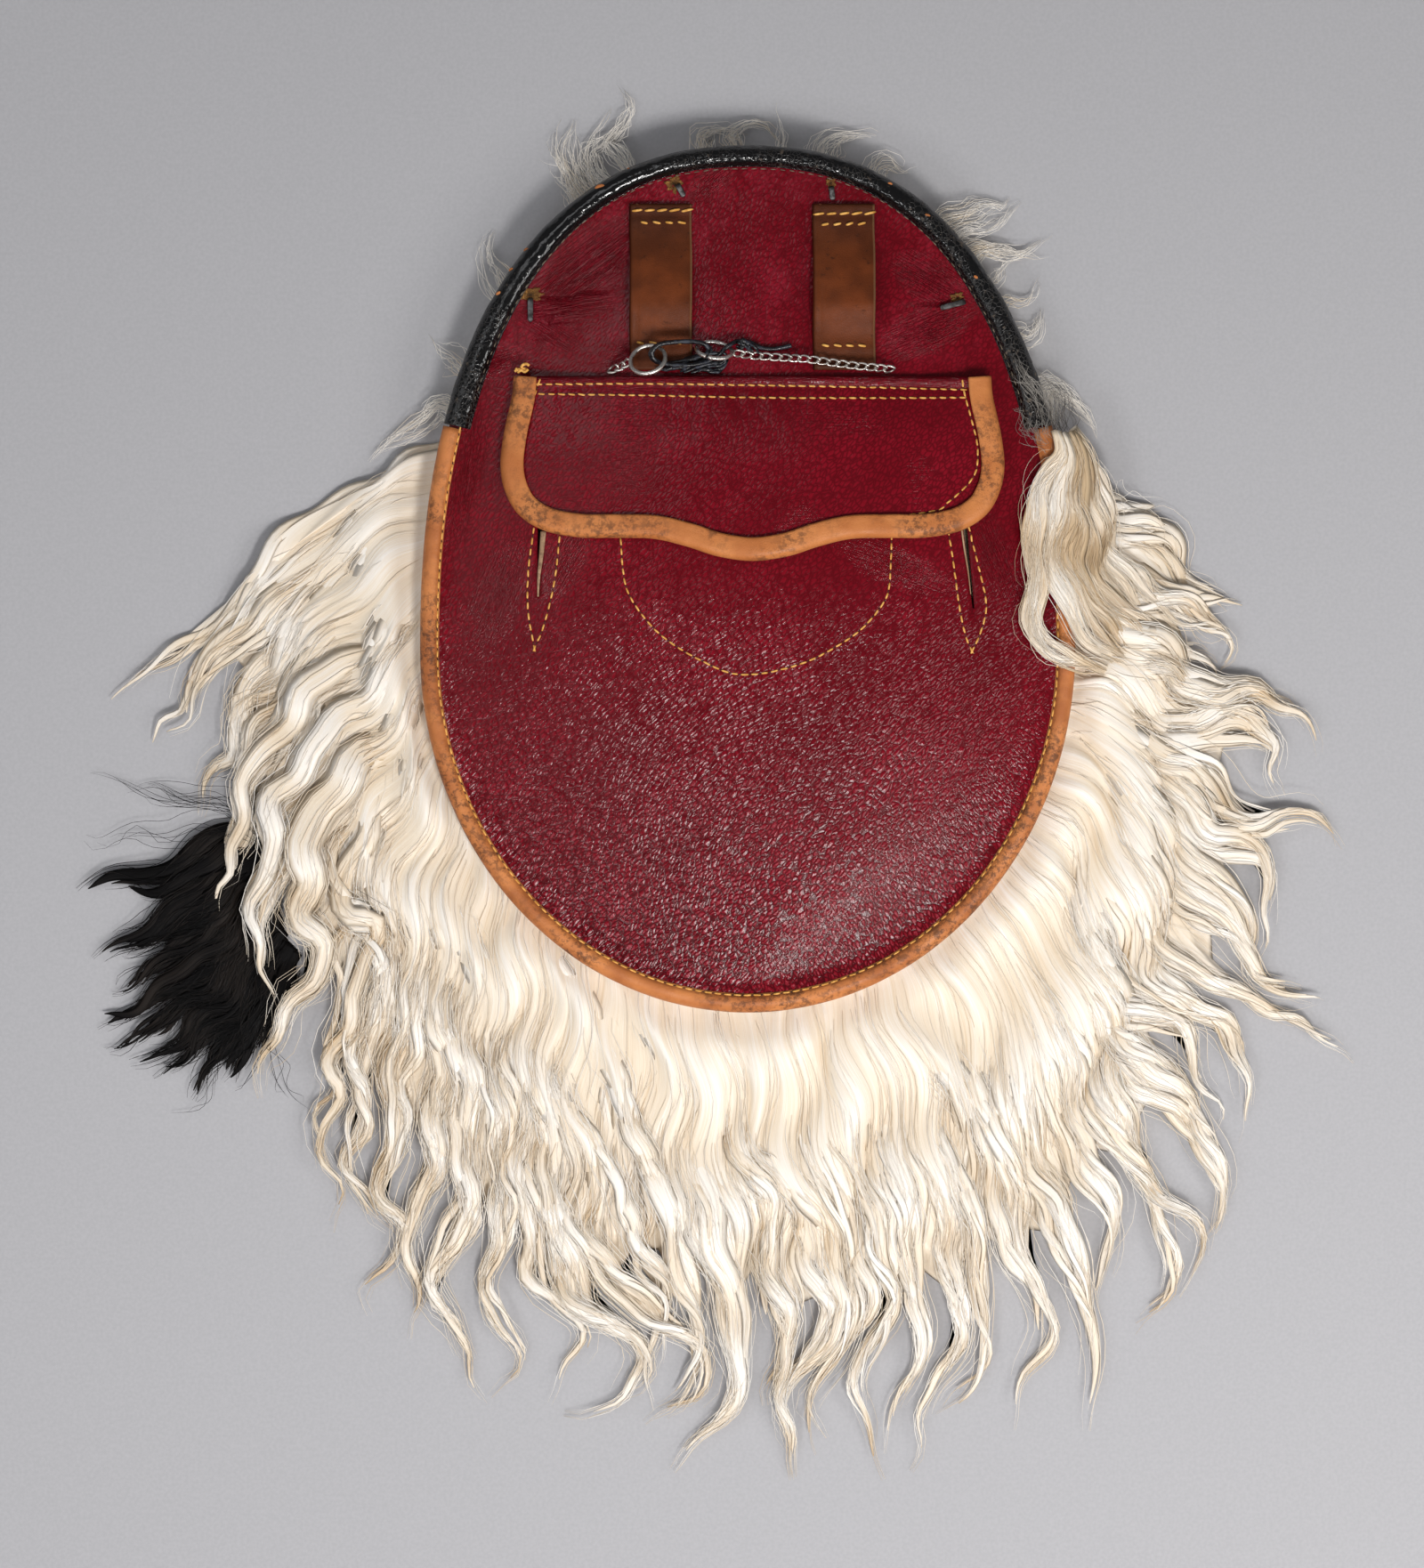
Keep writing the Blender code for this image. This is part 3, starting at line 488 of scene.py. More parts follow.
# %% [markdown]
# ## The back panel
# The back is one skin, 2 mm thick, that bulges over the pouch. A disc of rings would be simple,
# but the mouth under the flap and the slits at its ends have straight sides. So the skin is a grid
# whose rows run across at the mouth's own heights, and whose columns bend to follow both slits.
# The faces inside the mouth and slits are left out, and Solidify gives the skin its thickness.
#
# Use has left wrinkles: they fan out from the four prongs, pull across from the left prong to the
# belt loop, and run along both sides. Each is a small wave whose strength fades with distance,
# added to the bulge. The finish draws the fine creases between them: the mesh tells it how strong
# they are at each point, and how far along and across its wrinkle the point lies.

# %% Wrinkles of the back
PRONGS = (  # hole's x and y in mm from the body's middle, direction in degrees, length in mm
    (-73.2, 118.4, -90.0, 8.0),
    (-23.6, 156.6, -62.0, 4.6),
    (28.2, 155.8, -84.0, 4.4),
    (73.2, 117.2, -165.0, 8.6),
)
CREASES = (  # x, y, direction in degrees, length, spread across, wave length, height, all in mm
    (-56.0, 128.0, 38.0, 20.0, 9.0, 3.6, 0.42),
    (-62.0, 116.0, 8.0, 15.0, 5.0, 3.1, 0.34),
    (-68.0, 108.0, -32.0, 12.0, 5.0, 3.3, 0.26),
    (-88.0, 96.0, 20.0, 12.0, 4.0, 3.6, 0.30),
    (-40.0, 98.0, 25.0, 8.0, 5.0, 4.4, 0.30),
    (-12.0, 158.0, 40.0, 8.0, 4.0, 2.8, 0.24),
    (62.0, 124.0, 150.0, 14.0, 7.0, 3.4, 0.30),
    (60.0, 108.0, 205.0, 15.0, 7.0, 3.8, 0.30),
    (-95.0, 60.0, 80.0, 26.0, 6.0, 4.2, 0.26),
    (-84.0, 20.0, 68.0, 22.0, 9.0, 5.2, 0.22),
    (-62.0, 30.0, 60.0, 16.0, 7.0, 4.0, 0.20),
    (84.0, 30.0, 112.0, 20.0, 7.0, 4.6, 0.24),
    (50.0, 28.0, 160.0, 18.0, 6.0, 4.6, 0.18),
)


def along_across(x, y, at_x, at_y, way):
    """Distances along and across a crease through (at_x, at_y) that runs at way degrees."""
    way, x, y = np.radians(way), x - at_x, y - at_y
    return x * np.cos(way) + y * np.sin(way), y * np.cos(way) - x * np.sin(way)


def wrinkles(x, y):
    """A sum of fading waves: for each crease, height x cos(2 pi x distance across / wave length)
    x a bell along and across; for each prong, a dimple with rays; and slow noise all over."""
    x, y = x / MM, y / MM
    total = 0.30 * smooth_noise(x, y, 34.0, 1) + 0.10 * smooth_noise(x, y, 11.0, 2)
    for at_x, at_y, way, length, spread, wave, height in CREASES:
        along, across = along_across(x, y, at_x, at_y, way)
        across = across + 0.9 * smooth_noise(along, across, 7.0, 3)
        bell = np.exp(-((along / length) ** 2) - (across / spread) ** 2)
        total = total + height * bell * np.cos(2 * np.pi * across / wave)
    for at_x, at_y, _, _ in PRONGS:
        far = np.hypot(x - at_x, y - at_y)
        round_it = np.arctan2(y - at_y, x - at_x)
        total = total - 0.55 * np.exp(-((far / 2.6) ** 2))
        rays = np.cos(9 * round_it + 2.0 * smooth_noise(far, at_x, 5.0, 4))
        total = total + 0.26 * rays * np.exp(-far / 6.5) * smooth_step(far / 3.0)
    fade = smooth_step((0.93 - body_radius(x * MM, y * MM)) / 0.07)
    return total * fade * MM


def crease_values(x, y):
    """How creased each point is, from 0 to 1, and its place along and across the wrinkle that is
    strongest there, in mm."""
    x, y = x / MM, y / MM
    best, place = np.zeros(x.shape), np.zeros((*x.shape, 3))
    for at_x, at_y, way, length, spread, _, height in CREASES:
        along, across = along_across(x, y, at_x, at_y, way)
        bell = 2.6 * height * np.exp(-((along / length) ** 2) - (across / spread) ** 2)
        here = np.stack([along, across, 0 * x + at_x], axis=-1)
        place = np.where((bell > best)[..., None], here, place)
        best = np.maximum(best, bell)
    return smooth_step(best), place


print("wrinkles reach", round(float(wrinkles(-0.056, 0.128)) / MM, 2), "mm by the left prong")

# %% The mouth and the slits
PANEL_INSET = 2.1 * MM
MOUTH_Y = 60.0 * MM
MOUTH_LOW, MOUTH_HIGH = 54.5 * MM, 65.5 * MM
SLITS = (  # x at the mouth, x at the foot, y of the foot, width at the mouth
    (-69.6 * MM, -70.4 * MM, 18.0 * MM, 2.6 * MM),
    (71.2 * MM, 76.0 * MM, 13.8 * MM, 1.8 * MM),
)
SLIT_FOOT_WIDTH = 0.8 * MM


def slit_sides(slit, y):
    """x of a slit's left and right side at the height y; straight from the mouth to the foot."""
    x_top, x_foot, y_foot, width = slit
    part = np.clip((y - y_foot) / (MOUTH_Y - y_foot), 0.0, 1.0)
    middle = x_foot + (x_top - x_foot) * part
    half = (SLIT_FOOT_WIDTH + (width - SLIT_FOOT_WIDTH) * part) / 2
    return middle - half, middle + half


def panel_rows():
    """Angles of the rows, denser where they must meet the mouth's and the slits' ends."""
    dense = np.linspace(-np.pi / 2, np.pi / 2, 4001)
    heights = body_edge(dense, PANEL_INSET)[:, 1]
    stops = np.interp([SLITS[1][2], SLITS[0][2], MOUTH_LOW, MOUTH_HIGH], heights, dense)
    stops = np.concatenate([[-np.pi / 2], stops, [np.pi / 2]])
    counts = (56, 3, 20, 6, 72)
    parts = [np.linspace(a, b, n, endpoint=False) for a, b, n in zip(stops, stops[1:], counts)]
    return np.concatenate([*parts, [np.pi / 2]]), np.cumsum((0, *counts))


print("rows of the back:", len(panel_rows()[0]))


# %% Make the back panel
def add_wall(piece):
    """Gives a skin its thickness, below the faces that were worked out."""
    wall = piece.modifiers.new("wall", "SOLIDIFY")
    wall.thickness, wall.offset = WALL, -1.0


def close_poles(piece):
    """Merges points that coincide, where whole rows end in one point."""
    work = bmesh.new()
    work.from_mesh(piece.data)
    bmesh.ops.remove_doubles(work, verts=work.verts, dist=0.02 * MM)
    loose = [point for point in work.verts if not point.link_faces]
    bmesh.ops.delete(work, geom=loose, context="VERTS")
    work.to_mesh(piece.data)
    work.free()


def back_panel():
    """Rows at one y each; columns at shares of the half width, bent to pass along both slits."""
    turns, stops = panel_rows()
    edge = body_edge(turns, PANEL_INSET)
    half, y = edge[:, 0], edge[:, 1]
    counts = (22, 1, 92, 1, 22)
    shares = [np.linspace(k, k + 1, n, endpoint=False) for k, n in enumerate(counts)]
    shares = np.concatenate([*shares, [5.0]])
    left, right = (slit_sides(slit, np.clip(y, slit[2], MOUTH_HIGH)) for slit in SLITS)
    level = [np.interp(np.clip(y, slit[2], MOUTH_HIGH), y, half) for slit in SLITS]
    ones = np.ones_like(y)
    sides = (left[0] / level[0], left[1] / level[0], right[0] / level[1], right[1] / level[1])
    knots = np.clip(np.stack([-ones, *sides, ones]), -1.0, 1.0)
    across = np.stack([np.interp(shares, np.arange(6), knot) for knot in knots.T])
    x = (across * half[:, None]).T
    y = np.broadcast_to(y, x.shape)
    points = np.stack([x, y, back_surface(x, y) + wrinkles(x, y)], axis=-1)
    faces = grid_faces(*x.shape, closed=False)
    column, row = faces[:, 0] // x.shape[1], faces[:, 0] % x.shape[1]
    seams = np.cumsum((0, *counts))
    in_mouth = (row >= stops[3]) & (row < stops[4]) & (column >= seams[1]) & (column < seams[4])
    in_left = (column == seams[1]) & (row >= stops[2]) & (row < stops[4])
    in_right = (column == seams[3]) & (row >= stops[1]) & (row < stops[4])
    faces = faces[~(in_mouth | in_left | in_right)]
    crease, place = crease_values(x, y)
    piece = add_piece("back_skin", points, faces, [], crimson,
                      ["back_panel"], {"crease": crease})
    keep_place(piece, "crease_place", place)
    close_poles(piece)
    add_wall(piece)


back_panel()

# %% [markdown]
# ## Tan leather
# The bindings are vegetable-tanned calf: orange tan, matt, with dark rub marks where hands and
# belts have polished dirt into it. Colour comes from two sizes of noise; the rub marks are a third
# noise cut off sharply, and pores are tiny cells in the bump.


# %% Tan leather
def tan_leather(name, light, dark, stain):
    """Colour = light to dark by cloudy noise, then stain where a sharp noise is high."""
    f = Finish(name, specular_ior_level=0.3)
    cloudy = f.range(f.noise(85.0, 5.0), 0.32, 0.68)
    colour = f.mix(cloudy, light, dark)
    spots = f.range(f.noise(420.0, 6.0, rough=0.75), 0.44, 0.60)
    patches = f.range(f.noise(30.0, 3.0), 0.42, 0.60)
    colour = f.mix(f.times(spots, patches, 0.75), colour, stain)
    pores = f.range(f.cells(1700.0, feature="F1"), 0.1, 0.5)
    fibres = f.noise(1500.0, 3.0)
    height = f.plus(f.times(pores, 0.5), f.times(fibres, 0.8))
    rough = f.range(f.noise(130.0, 3.0), 0.3, 0.7, 0.62, 0.42)
    swell = f.bump(f.noise(170.0, 2.0), 0.0008, 0.4)
    return f.finish(colour, rough, f.bump(height, 0.00012, 0.7, swell))


tan = tan_leather("tan_leather", (0.64, 0.230, 0.068), (0.42, 0.130, 0.036), (0.060, 0.024, 0.013))
suede = tan_leather("tan_suede", (0.62, 0.225, 0.066), (0.49, 0.158, 0.042), (0.10, 0.040, 0.018))

# %% [markdown]
# ## The hidden front
# The front lies face down in its own hair, so it stays a plain board of hide: only its finish
# changes, to the pale flesh side of a skin. The tan finish already has the right cloudy noise, so
# the same function makes it, with other colours.

# %% The hidden front
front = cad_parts["front_panel"]
pale_hide = tan_leather("pale_hide", (0.56, 0.45, 0.31), (0.40, 0.30, 0.19), (0.20, 0.14, 0.08))
front.material_slots[0].material = pale_hide

# %% [markdown]
# ## Patent leather
# The roll round the top is cloth-backed leather under a hard black lacquer. The lacquer is glossy
# where it is whole, and crazed into flakes where it has bent. The cracks are the borders between
# Voronoi cells, drawn only where a slow noise says that the roll has been bent most.


# %% Patent leather
def patent_leather():
    """Gloss where whole; dull grey-brown cracks along cell borders where a slow noise is high;
    brown flecks where the lacquer has flaked off; and small blisters all over."""
    f = Finish("patent_leather", specular_ior_level=0.5)
    bad = f.times(f.value("crazed"), f.range(f.noise(52.0, 4.0), 0.30, 0.55))
    cracks = f.times(f.range(f.cells(620.0, f.bent(0.0028, 240.0, 3.0)), 0.10, 0.0), bad)
    flakes = f.times(f.range(f.noise(420.0, 5.0, rough=0.7), 0.60, 0.66), bad)
    colour = f.mix(cracks, (0.0035, 0.0033, 0.0035), (0.020, 0.016, 0.013))
    colour = f.mix(flakes, colour, (0.11, 0.080, 0.056))
    rough = f.range(f.plus(cracks, flakes), 0.0, 0.8, 0.10, 0.60)
    blisters = f.range(f.cells(520.0, feature="F1"), 0.15, 0.75, 1.0, 0.0)
    rucked = f.range(f.value("crazed"), 0.0, 1.0, 0.30, 0.60)
    lumps = f.bump(f.plus(f.times(blisters, rucked), f.noise(190.0, 3.0)), 0.00028, 0.6)
    return f.finish(colour, rough, f.bump(f.math("SUBTRACT", 1.0, cracks), 0.00012, 0.8, lumps))


patent = patent_leather()

# %% [markdown]
# ## The bound edge
# Both edge pieces are strips folded round the cut edges of the two walls. A strip is a profile
# carried along the outline: the profile says how far in from the edge and how high each of its
# points is. Both are round over a cord, and dip where their stitches pull them down. The black
# roll is thicker and crumpled, so noise swells it.

# %% Strips along the outline
JOIN_Y = 76.0 * MM  # where roll and binding meet
JOIN = np.arcsin((JOIN_Y / RISE) ** (RISE_POWER / 2))
JOIN_SLACK = 0.0027
GROOVE_INSET = 1.8 * MM
STITCH_DIP = 0.45 * MM


def padded_roll(width, low, high):
    """Profile of a round padded strip: an ellipse from its inner edge over the top and round to
    the bottom, then the slot for the walls."""
    turn = np.radians(np.linspace(24.0, 292.0, 30))
    inward = 0.5 * (1 + np.cos(turn))
    heights = (high + low) / 2 + (high - low) / 2 * np.sin(turn)
    heights = heights - STITCH_DIP * np.exp(-(((inward - 0.86) / 0.06) ** 2)) * (turn < np.pi / 2)
    return with_slot(inward, heights, width, inward[0], heights[-1])


def with_slot(inward, heights, width, lip, low):
    """The profile, closed by a slot that lets both walls in."""
    floor = GROOVE_INSET / width
    slot_in = np.array([lip, lip, floor, floor, lip])
    slot_z = np.array([low, FRONT_Z - GAP, FRONT_Z - GAP, BACK_Z + WALL + GAP, BACK_Z + WALL + GAP])
    return np.concatenate([inward, slot_in]), np.concatenate([heights, slot_z])


def edge_strip(name, turns, widths, profile, swell, finish, slot, node, **values):
    """Each profile point follows the outline, moved in by its share of the width; swell pushes
    the section's points away from its middle by smooth noise along and around."""
    inwards, heights = profile
    sections = np.empty((len(turns), len(inwards), 3))
    for k, inward in enumerate(inwards):
        sections[:, k, :2] = body_edge(turns, inward * widths)
        sections[:, k, 2] = heights[k]
    middle = sections.mean(axis=1, keepdims=True)
    run = np.linspace(0.0, 420.0, len(turns))[:, None]
    round_it = np.linspace(0.0, 1.0, len(inwards))[None]
    uneven = 0.6 * smooth_noise(run, 40.0 * round_it, 9.0, 5)
    uneven = uneven + 0.4 * smooth_noise(run, 60 * round_it, 3.4, 6)
    outer = (np.arange(len(inwards)) > 1) & (np.arange(len(inwards)) < len(inwards) - 7)
    sections += (sections - middle) * (swell * uneven * outer)[..., None]
    values = {key: value[:, None] + np.zeros(len(inwards)) for key, value in values.items()}
    return bar(name, sections, finish, [node], values)


roll_turns = np.linspace(JOIN + JOIN_SLACK, np.pi - JOIN - JOIN_SLACK, 420)
roll_widths = (7.6 + 2.6 * np.cos(roll_turns) ** 2) * MM
roll_profile = padded_roll(8.4 * MM, 9.6 * MM, 19.7 * MM)
# The lacquer is crazed at both ends and over the top's right half, and whole at the upper left.
crazed = np.interp(np.degrees(roll_turns), (30, 45, 62, 80, 95, 108, 132, 146, 160),
                   (1.0, 0.85, 0.95, 0.8, 0.55, 0.1, 0.15, 0.8, 1.0))
edge_strip("patent_roll", roll_turns, roll_widths, roll_profile, 0.06, patent, "patent_leather",
           "cantle_rim", crazed=crazed)
tan_turns = np.linspace(np.pi - JOIN + JOIN_SLACK, 2 * np.pi + JOIN - JOIN_SLACK, 300)
tan_profile = padded_roll(6.8 * MM, 10.8 * MM, 18.4 * MM)
edge_strip("tan_binding", tan_turns, 6.8 * MM, tan_profile, 0.022, tan, "tan_leather",
           "body_binding")

# %% [markdown]
# ## The flap
# The flap hides the mouth. It is a second skin that lies on the back along its sewn hem and lifts
# off below. Its lower edge is no simple curve, so half of it is a short table of points, mirrored.
# The skin is then stretched between that edge and the straight hem: a point is a share of the way
# from one to the other, which needs no cutting.

# %% Make the flap
FLAP_X = 1.6 * MM
FLAP_OUTLINE = (  # distance from the flap's middle line, y, in mm
    (80.4, 92.0), (81.0, 85.0), (83.6, 73.0), (84.8, 62.0), (83.2, 53.0), (78.6, 45.2),
    (70.0, 39.8), (58.0, 37.4), (46.0, 37.2), (33.0, 36.8), (22.0, 34.2), (12.0, 31.0), (0.0, 29.4),
)
HEM_Y = 92.0 * MM
FLAP_LIFT, HEM_DEPTH = 2.6 * MM, 26.0 * MM
BINDING_COVERS, HEM_ROUND = 2.1 * MM, 1.5 * MM
HEM_SEWN_HALF, HEM_SIDE_RAMP, HEM_SIDE_LIFT = 56.0 * MM, 18.0 * MM, 1.75 * MM


def flap_edge(count):
    """The table of the right half, mirrored to the left and joined into one smooth line."""
    half = np.array(FLAP_OUTLINE) * MM
    both = np.vstack([half * (-1, 1), half[-2::-1]])
    return smooth_line(both + (FLAP_X, 0.0), count)


def sideways(line):
    """Unit vectors square to a line: its direction of travel turned a quarter to the left."""
    travel = unit(np.gradient(line, axis=0))
    return np.stack([-travel[:, 1], travel[:, 0]], axis=1)


def flap_lift(x, y):
    """Gap under the flap: none along the sewn hem, more at its bound ends and below it."""
    bound_end = smooth_step((np.abs(x - FLAP_X) - HEM_SEWN_HALF) / HEM_SIDE_RAMP)
    hem = GAP + (HEM_SIDE_LIFT - GAP) * bound_end
    return hem + (FLAP_LIFT - hem) * smooth_step((HEM_Y - y) / HEM_DEPTH)


def flap_top(x, y):
    """The flap's upper face: back + gap + thickness + soft waves + a bead along the hem."""
    waves = 0.30 * smooth_noise(x / MM, y / MM, 26.0, 7)
    waves = waves + 0.12 * smooth_noise(x / MM, y / MM, 8.0, 8)
    below = (HEM_Y - y) / MM
    bead = 0.55 * np.exp(-(((below - 1.6) / 1.3) ** 2))
    bead = bead - 0.30 * np.exp(-(((below - 4.2) / 1.2) ** 2))
    tucks = 0.08 * np.cos(2 * np.pi * x / (7.3 * MM)) * np.exp(-(((below - 8.0) / 4.0) ** 2))
    return back_surface(x, y) + flap_lift(x, y) + WALL + (waves + bead + tucks) * MM


def flap():
    """Grid of shares: edge point + share x (hem point - edge point), the hem's last rows rolled
    down in a quarter circle."""
    edge = flap_edge(200)
    edge = edge + sideways(edge) * BINDING_COVERS
    hem = np.linspace(edge[0, 0], edge[-1, 0], len(edge))
    hem = np.column_stack([hem, np.full(len(edge), HEM_Y)])
    near_hem = 0.9 + 0.1 * np.linspace(0, 1, 15)[1:] ** 0.8
    shares = np.concatenate([np.linspace(0.0, 0.9, 44), near_hem])
    flat = edge[:, None] + shares[None, :, None] * (hem - edge)[:, None]
    x, y = flat[..., 0], flat[..., 1]
    near = np.clip(1.0 - (HEM_Y - y) / HEM_ROUND, 0.0, 1.0)
    z = flap_top(x, y) - HEM_ROUND * (1 - np.sqrt(1 - near**2))
    points = np.dstack([flat, z])
    faces = grid_faces(*x.shape, closed=False)
    below = (HEM_Y - y) / MM
    crease = 0.55 * np.exp(-((below / 3.0) ** 2))
    crease = crease + 0.16 * smooth_step(smooth_noise(x / MM, y / MM, 19.0, 15))
    piece = add_piece("flap_skin", points, faces, [], crimson,
                      ["pocket_flap"], {"crease": crease})
    keep_place(piece, "crease_place", np.stack([x / MM, y / MM, 0 * x], axis=-1))
    add_wall(piece)


flap()

# %% [markdown]
# ## The flap's binding
# The flap's curved edge is bound in suede, folded over it and sewn through. It is the same idea as
# at the body's edge, one profile carried along the outline. Its heights are shares of the way from
# the back to just above the flap, because the flap lifts off and the fold has to reach both faces.


# %% The flap's binding
def flap_binding():
    """A folded strip: inward distance and a share of the height from the back to above the flap."""
    edge = flap_edge(300)
    inwards = sideways(edge)
    band = np.array([7.8, 7.9, 7.2, 6.0, 4.8, 3.6, 2.6, 1.7, 0.95, 0.4, 0.08, 0.0, 0.15, 0.6, 1.4,
                     2.8, 7.6, 7.6, 1.7, 1.7, 7.8]) * MM
    share = np.array([0.80, 0.92, 0.985, 1.0, 1.02, 1.03, 1.02, 0.985, 0.90, 0.76, 0.60, 0.44, 0.28,
                      0.14, 0.05, 0.0, 0.0, -1.0, -1.0, -2.0, -2.0])
    sections = np.empty((len(edge), len(band), 3))
    run = np.linspace(0.0, 250.0, len(edge))
    for k, (inward, part) in enumerate(zip(band, share)):
        flat = edge + inwards * inward
        x, y = flat.T
        lift = flap_lift(x, y)
        roof = lift + WALL + 0.45 * MM
        height = GAP + part * (roof + 1.25 * MM - GAP)
        height = np.where(part == -1.0, lift - 0.45 * MM, np.where(part == -2.0, roof, height))
        uneven = 0.14 * MM * smooth_noise(run, np.full_like(run, 2.0 * k), 7.0, 9) * (0 < part)
        sections[:, k, :2] = flat
        sections[:, k, 2] = back_surface(x, y) + height + uneven
    bar("flap_band", sections, suede, ["flap_binding"])


flap_binding()

# %% [markdown]
# ## Brown leather and the belt loops
# Two straps of dark bridle leather, sewn down at both ends, stand off the back so that a belt can
# pass. A strap is a profile across its width carried along its length. The finish paints light on
# the raised middle, lighter and redder, and shade at the sewn ends; the cut right edge shows raw
# leather.


# %% Brown leather
def brown_leather():
    """Painted shade at the sewn ends and painted light, lighter and redder, on the raised middle,
    by a value kept on the mesh.
    """
    f = Finish("brown_leather", specular_ior_level=0.14)
    wear_and_painted_light, raw = f.value("wear_and_painted_light"), f.value("raw")
    mottled = f.range(f.noise(120.0, 5.0), 0.3, 0.7)
    dark = f.mix(mottled, (0.058, 0.0155, 0.0060), (0.088, 0.0235, 0.0085))
    light = f.mix(mottled, (0.112, 0.0265, 0.0075), (0.170, 0.0400, 0.0105))
    colour = f.mix(wear_and_painted_light, dark, light)
    grime = f.range(f.noise(310.0, 6.0, rough=0.7), 0.57, 0.70)
    colour = f.mix(f.times(grime, 0.6), colour, (0.018, 0.009, 0.006))
    colour = f.mix(raw, colour, (0.36, 0.20, 0.095))
    pores = f.range(f.cells(1500.0), 0.0, 0.22)
    scratches = f.noise(1.0, 3.0, f.stretch((1400.0, 120.0, 300.0)))
    height = f.plus(f.times(pores, 0.5), f.times(scratches, 0.5))
    rough = f.range(f.plus(grime, raw), 0.0, 1.0, 0.46, 0.70)
    swell = f.bump(f.noise(110.0, 2.0), 0.0009, 0.25)
    return f.finish(colour, rough, f.bump(height, 0.00014, 0.6, swell))


brown = brown_leather()

# %% Make the belt loops
LOOPS = (("left", -29.2 * MM), ("right", 32.4 * MM))  # name, x of its middle
LOOP_HALF = 10.5 * MM
LOOP_TOP_Y, LOOP_FOOT_Y = 150.2 * MM, 93.8 * MM
LOOP_SEWN_TOP, LOOP_SEWN_FOOT = 7.5 * MM, 9.0 * MM
LOOP_TOP_RAMP, LOOP_FOOT_RAMP = 34.0 * MM, 14.0 * MM
LOOP_FLAT_Z, LOOP_THICKNESS = 26.2 * MM, 1.6 * MM
LOOP_UPPER = 27  # how many points of a section lie on the strap's upper side


def loop_underside(x, y):
    """On the back at both ends, and level in the middle; two smooth steps lead up and down."""
    rise = smooth_step((y - (LOOP_FOOT_Y + LOOP_SEWN_FOOT)) / LOOP_FOOT_RAMP)
    fall = smooth_step((LOOP_TOP_Y - LOOP_SEWN_TOP - y) / LOOP_TOP_RAMP)
    up = rise * fall
    return (1.0 - up) * (back_surface(x, y) + GAP) + up * LOOP_FLAT_Z


def loop_top(x, y, middle):
    """Underside + thickness, less at the rounded edges, with a crease near the left edge."""
    across = (x - middle) / LOOP_HALF
    domed = 0.5 * MM * (1 - across**2)
    crease = -0.35 * MM * np.exp(-(((across + 0.78) / 0.05) ** 2))
    sewn = np.exp(-(((y - LOOP_TOP_Y + 4.0 * MM) / (1.2 * MM)) ** 2))
    sewn = sewn + np.exp(-(((y - LOOP_FOOT_Y - 5.0 * MM) / (1.2 * MM)) ** 2))
    return loop_underside(x, y) + LOOP_THICKNESS + domed + crease - 0.35 * MM * sewn


def belt_loop(name, middle):
    """Sections around the strap: over the top from left to right and back underneath."""
    across = np.concatenate([np.linspace(-1, 1, LOOP_UPPER), np.linspace(1, -1, 9)[1:-1]])
    upper = np.s_[:, :LOOP_UPPER]
    side = np.abs(across[:LOOP_UPPER])
    rounding = 0.8 * MM * (1 - np.sqrt(1 - np.clip((side - 0.9) / 0.1, 0.0, 0.995) ** 2))
    along = np.linspace(LOOP_FOOT_Y, LOOP_TOP_Y, 90)
    sway = 0.25 * MM * smooth_noise(along / MM, 0.0, 12.0, 10)[:, None]
    x = middle + across[None] * LOOP_HALF + sway
    y = np.broadcast_to(along[:, None], x.shape)
    ends = np.minimum(along - LOOP_FOOT_Y, LOOP_TOP_Y - along)[:, None]
    ends = 0.7 * MM * np.clip(1 - ends / (0.9 * MM), 0.0, 1.0) ** 2
    z = loop_underside(x, y)
    z[upper] = loop_top(x, y, middle)[upper] - rounding - ends
    z[upper] += 0.10 * MM * smooth_noise(x[upper] / MM, y[upper] / MM, 5.0, 11)
    # Painted light: lighter and redder where the strap arches up in its middle, darker towards the
    # sewn ends.
    wear_and_painted_light = smooth_step(1.25 - np.abs(y - 0.119) / (24 * MM))
    wear_and_painted_light = wear_and_painted_light * smooth_step(1.9 - 1.35 * np.abs(across))
    raw = smooth_step((across - 0.955) / 0.02) * (np.arange(len(across)) < LOOP_UPPER + 3)
    bar(f"loop_{name}", np.dstack([x, y, z]), brown,
        [f"belt_loop_{name}"], {"wear_and_painted_light": wear_and_painted_light, "raw": raw + np.zeros(x.shape)})


for side_name, side_middle in LOOPS:
    belt_loop(side_name, side_middle)

# %% [markdown]
# ## Stitches
# A row of stitches is one long thread, but only its bridges show. So each stitch is a short closed
# tube that rises out of the leather and dives back in. The rows are lines through a few pixels of
# the photograph; the height comes from whatever surface the row is sewn to, and all stitches of a
# colour are one mesh.


# %% Thread
def thread(name, light, dark):
    """Waxed thread: two colours mixed and dented by fine noise."""
    f = Finish(name, specular_ior_level=0.35)
    colour = f.mix(f.range(f.noise(700.0, 4.0), 0.35, 0.65), light, dark)
    plies = f.noise(2600.0, 2.0)
    rough = f.range(plies, 0.3, 0.7, 0.5, 0.75)
    return f.finish(colour, rough, f.bump(plies, 0.00015, 0.8))


gold_thread = thread("gold_thread", (0.90, 0.49, 0.13), (0.62, 0.29, 0.05))
grey_thread = thread("grey_thread", (0.22, 0.17, 0.12), (0.10, 0.075, 0.05))
# This dark thread paints the shade in the stitch holes.
hole_shade_thread = thread("hole_shade_thread", (0.075, 0.030, 0.012), (0.030, 0.012, 0.006))

# %% Make a row of stitches
STITCH_POINTS = 6
LINE_POINTS = 400
STITCH_SINKS = 0.42  # mm that a stitch's ends lie under the surface


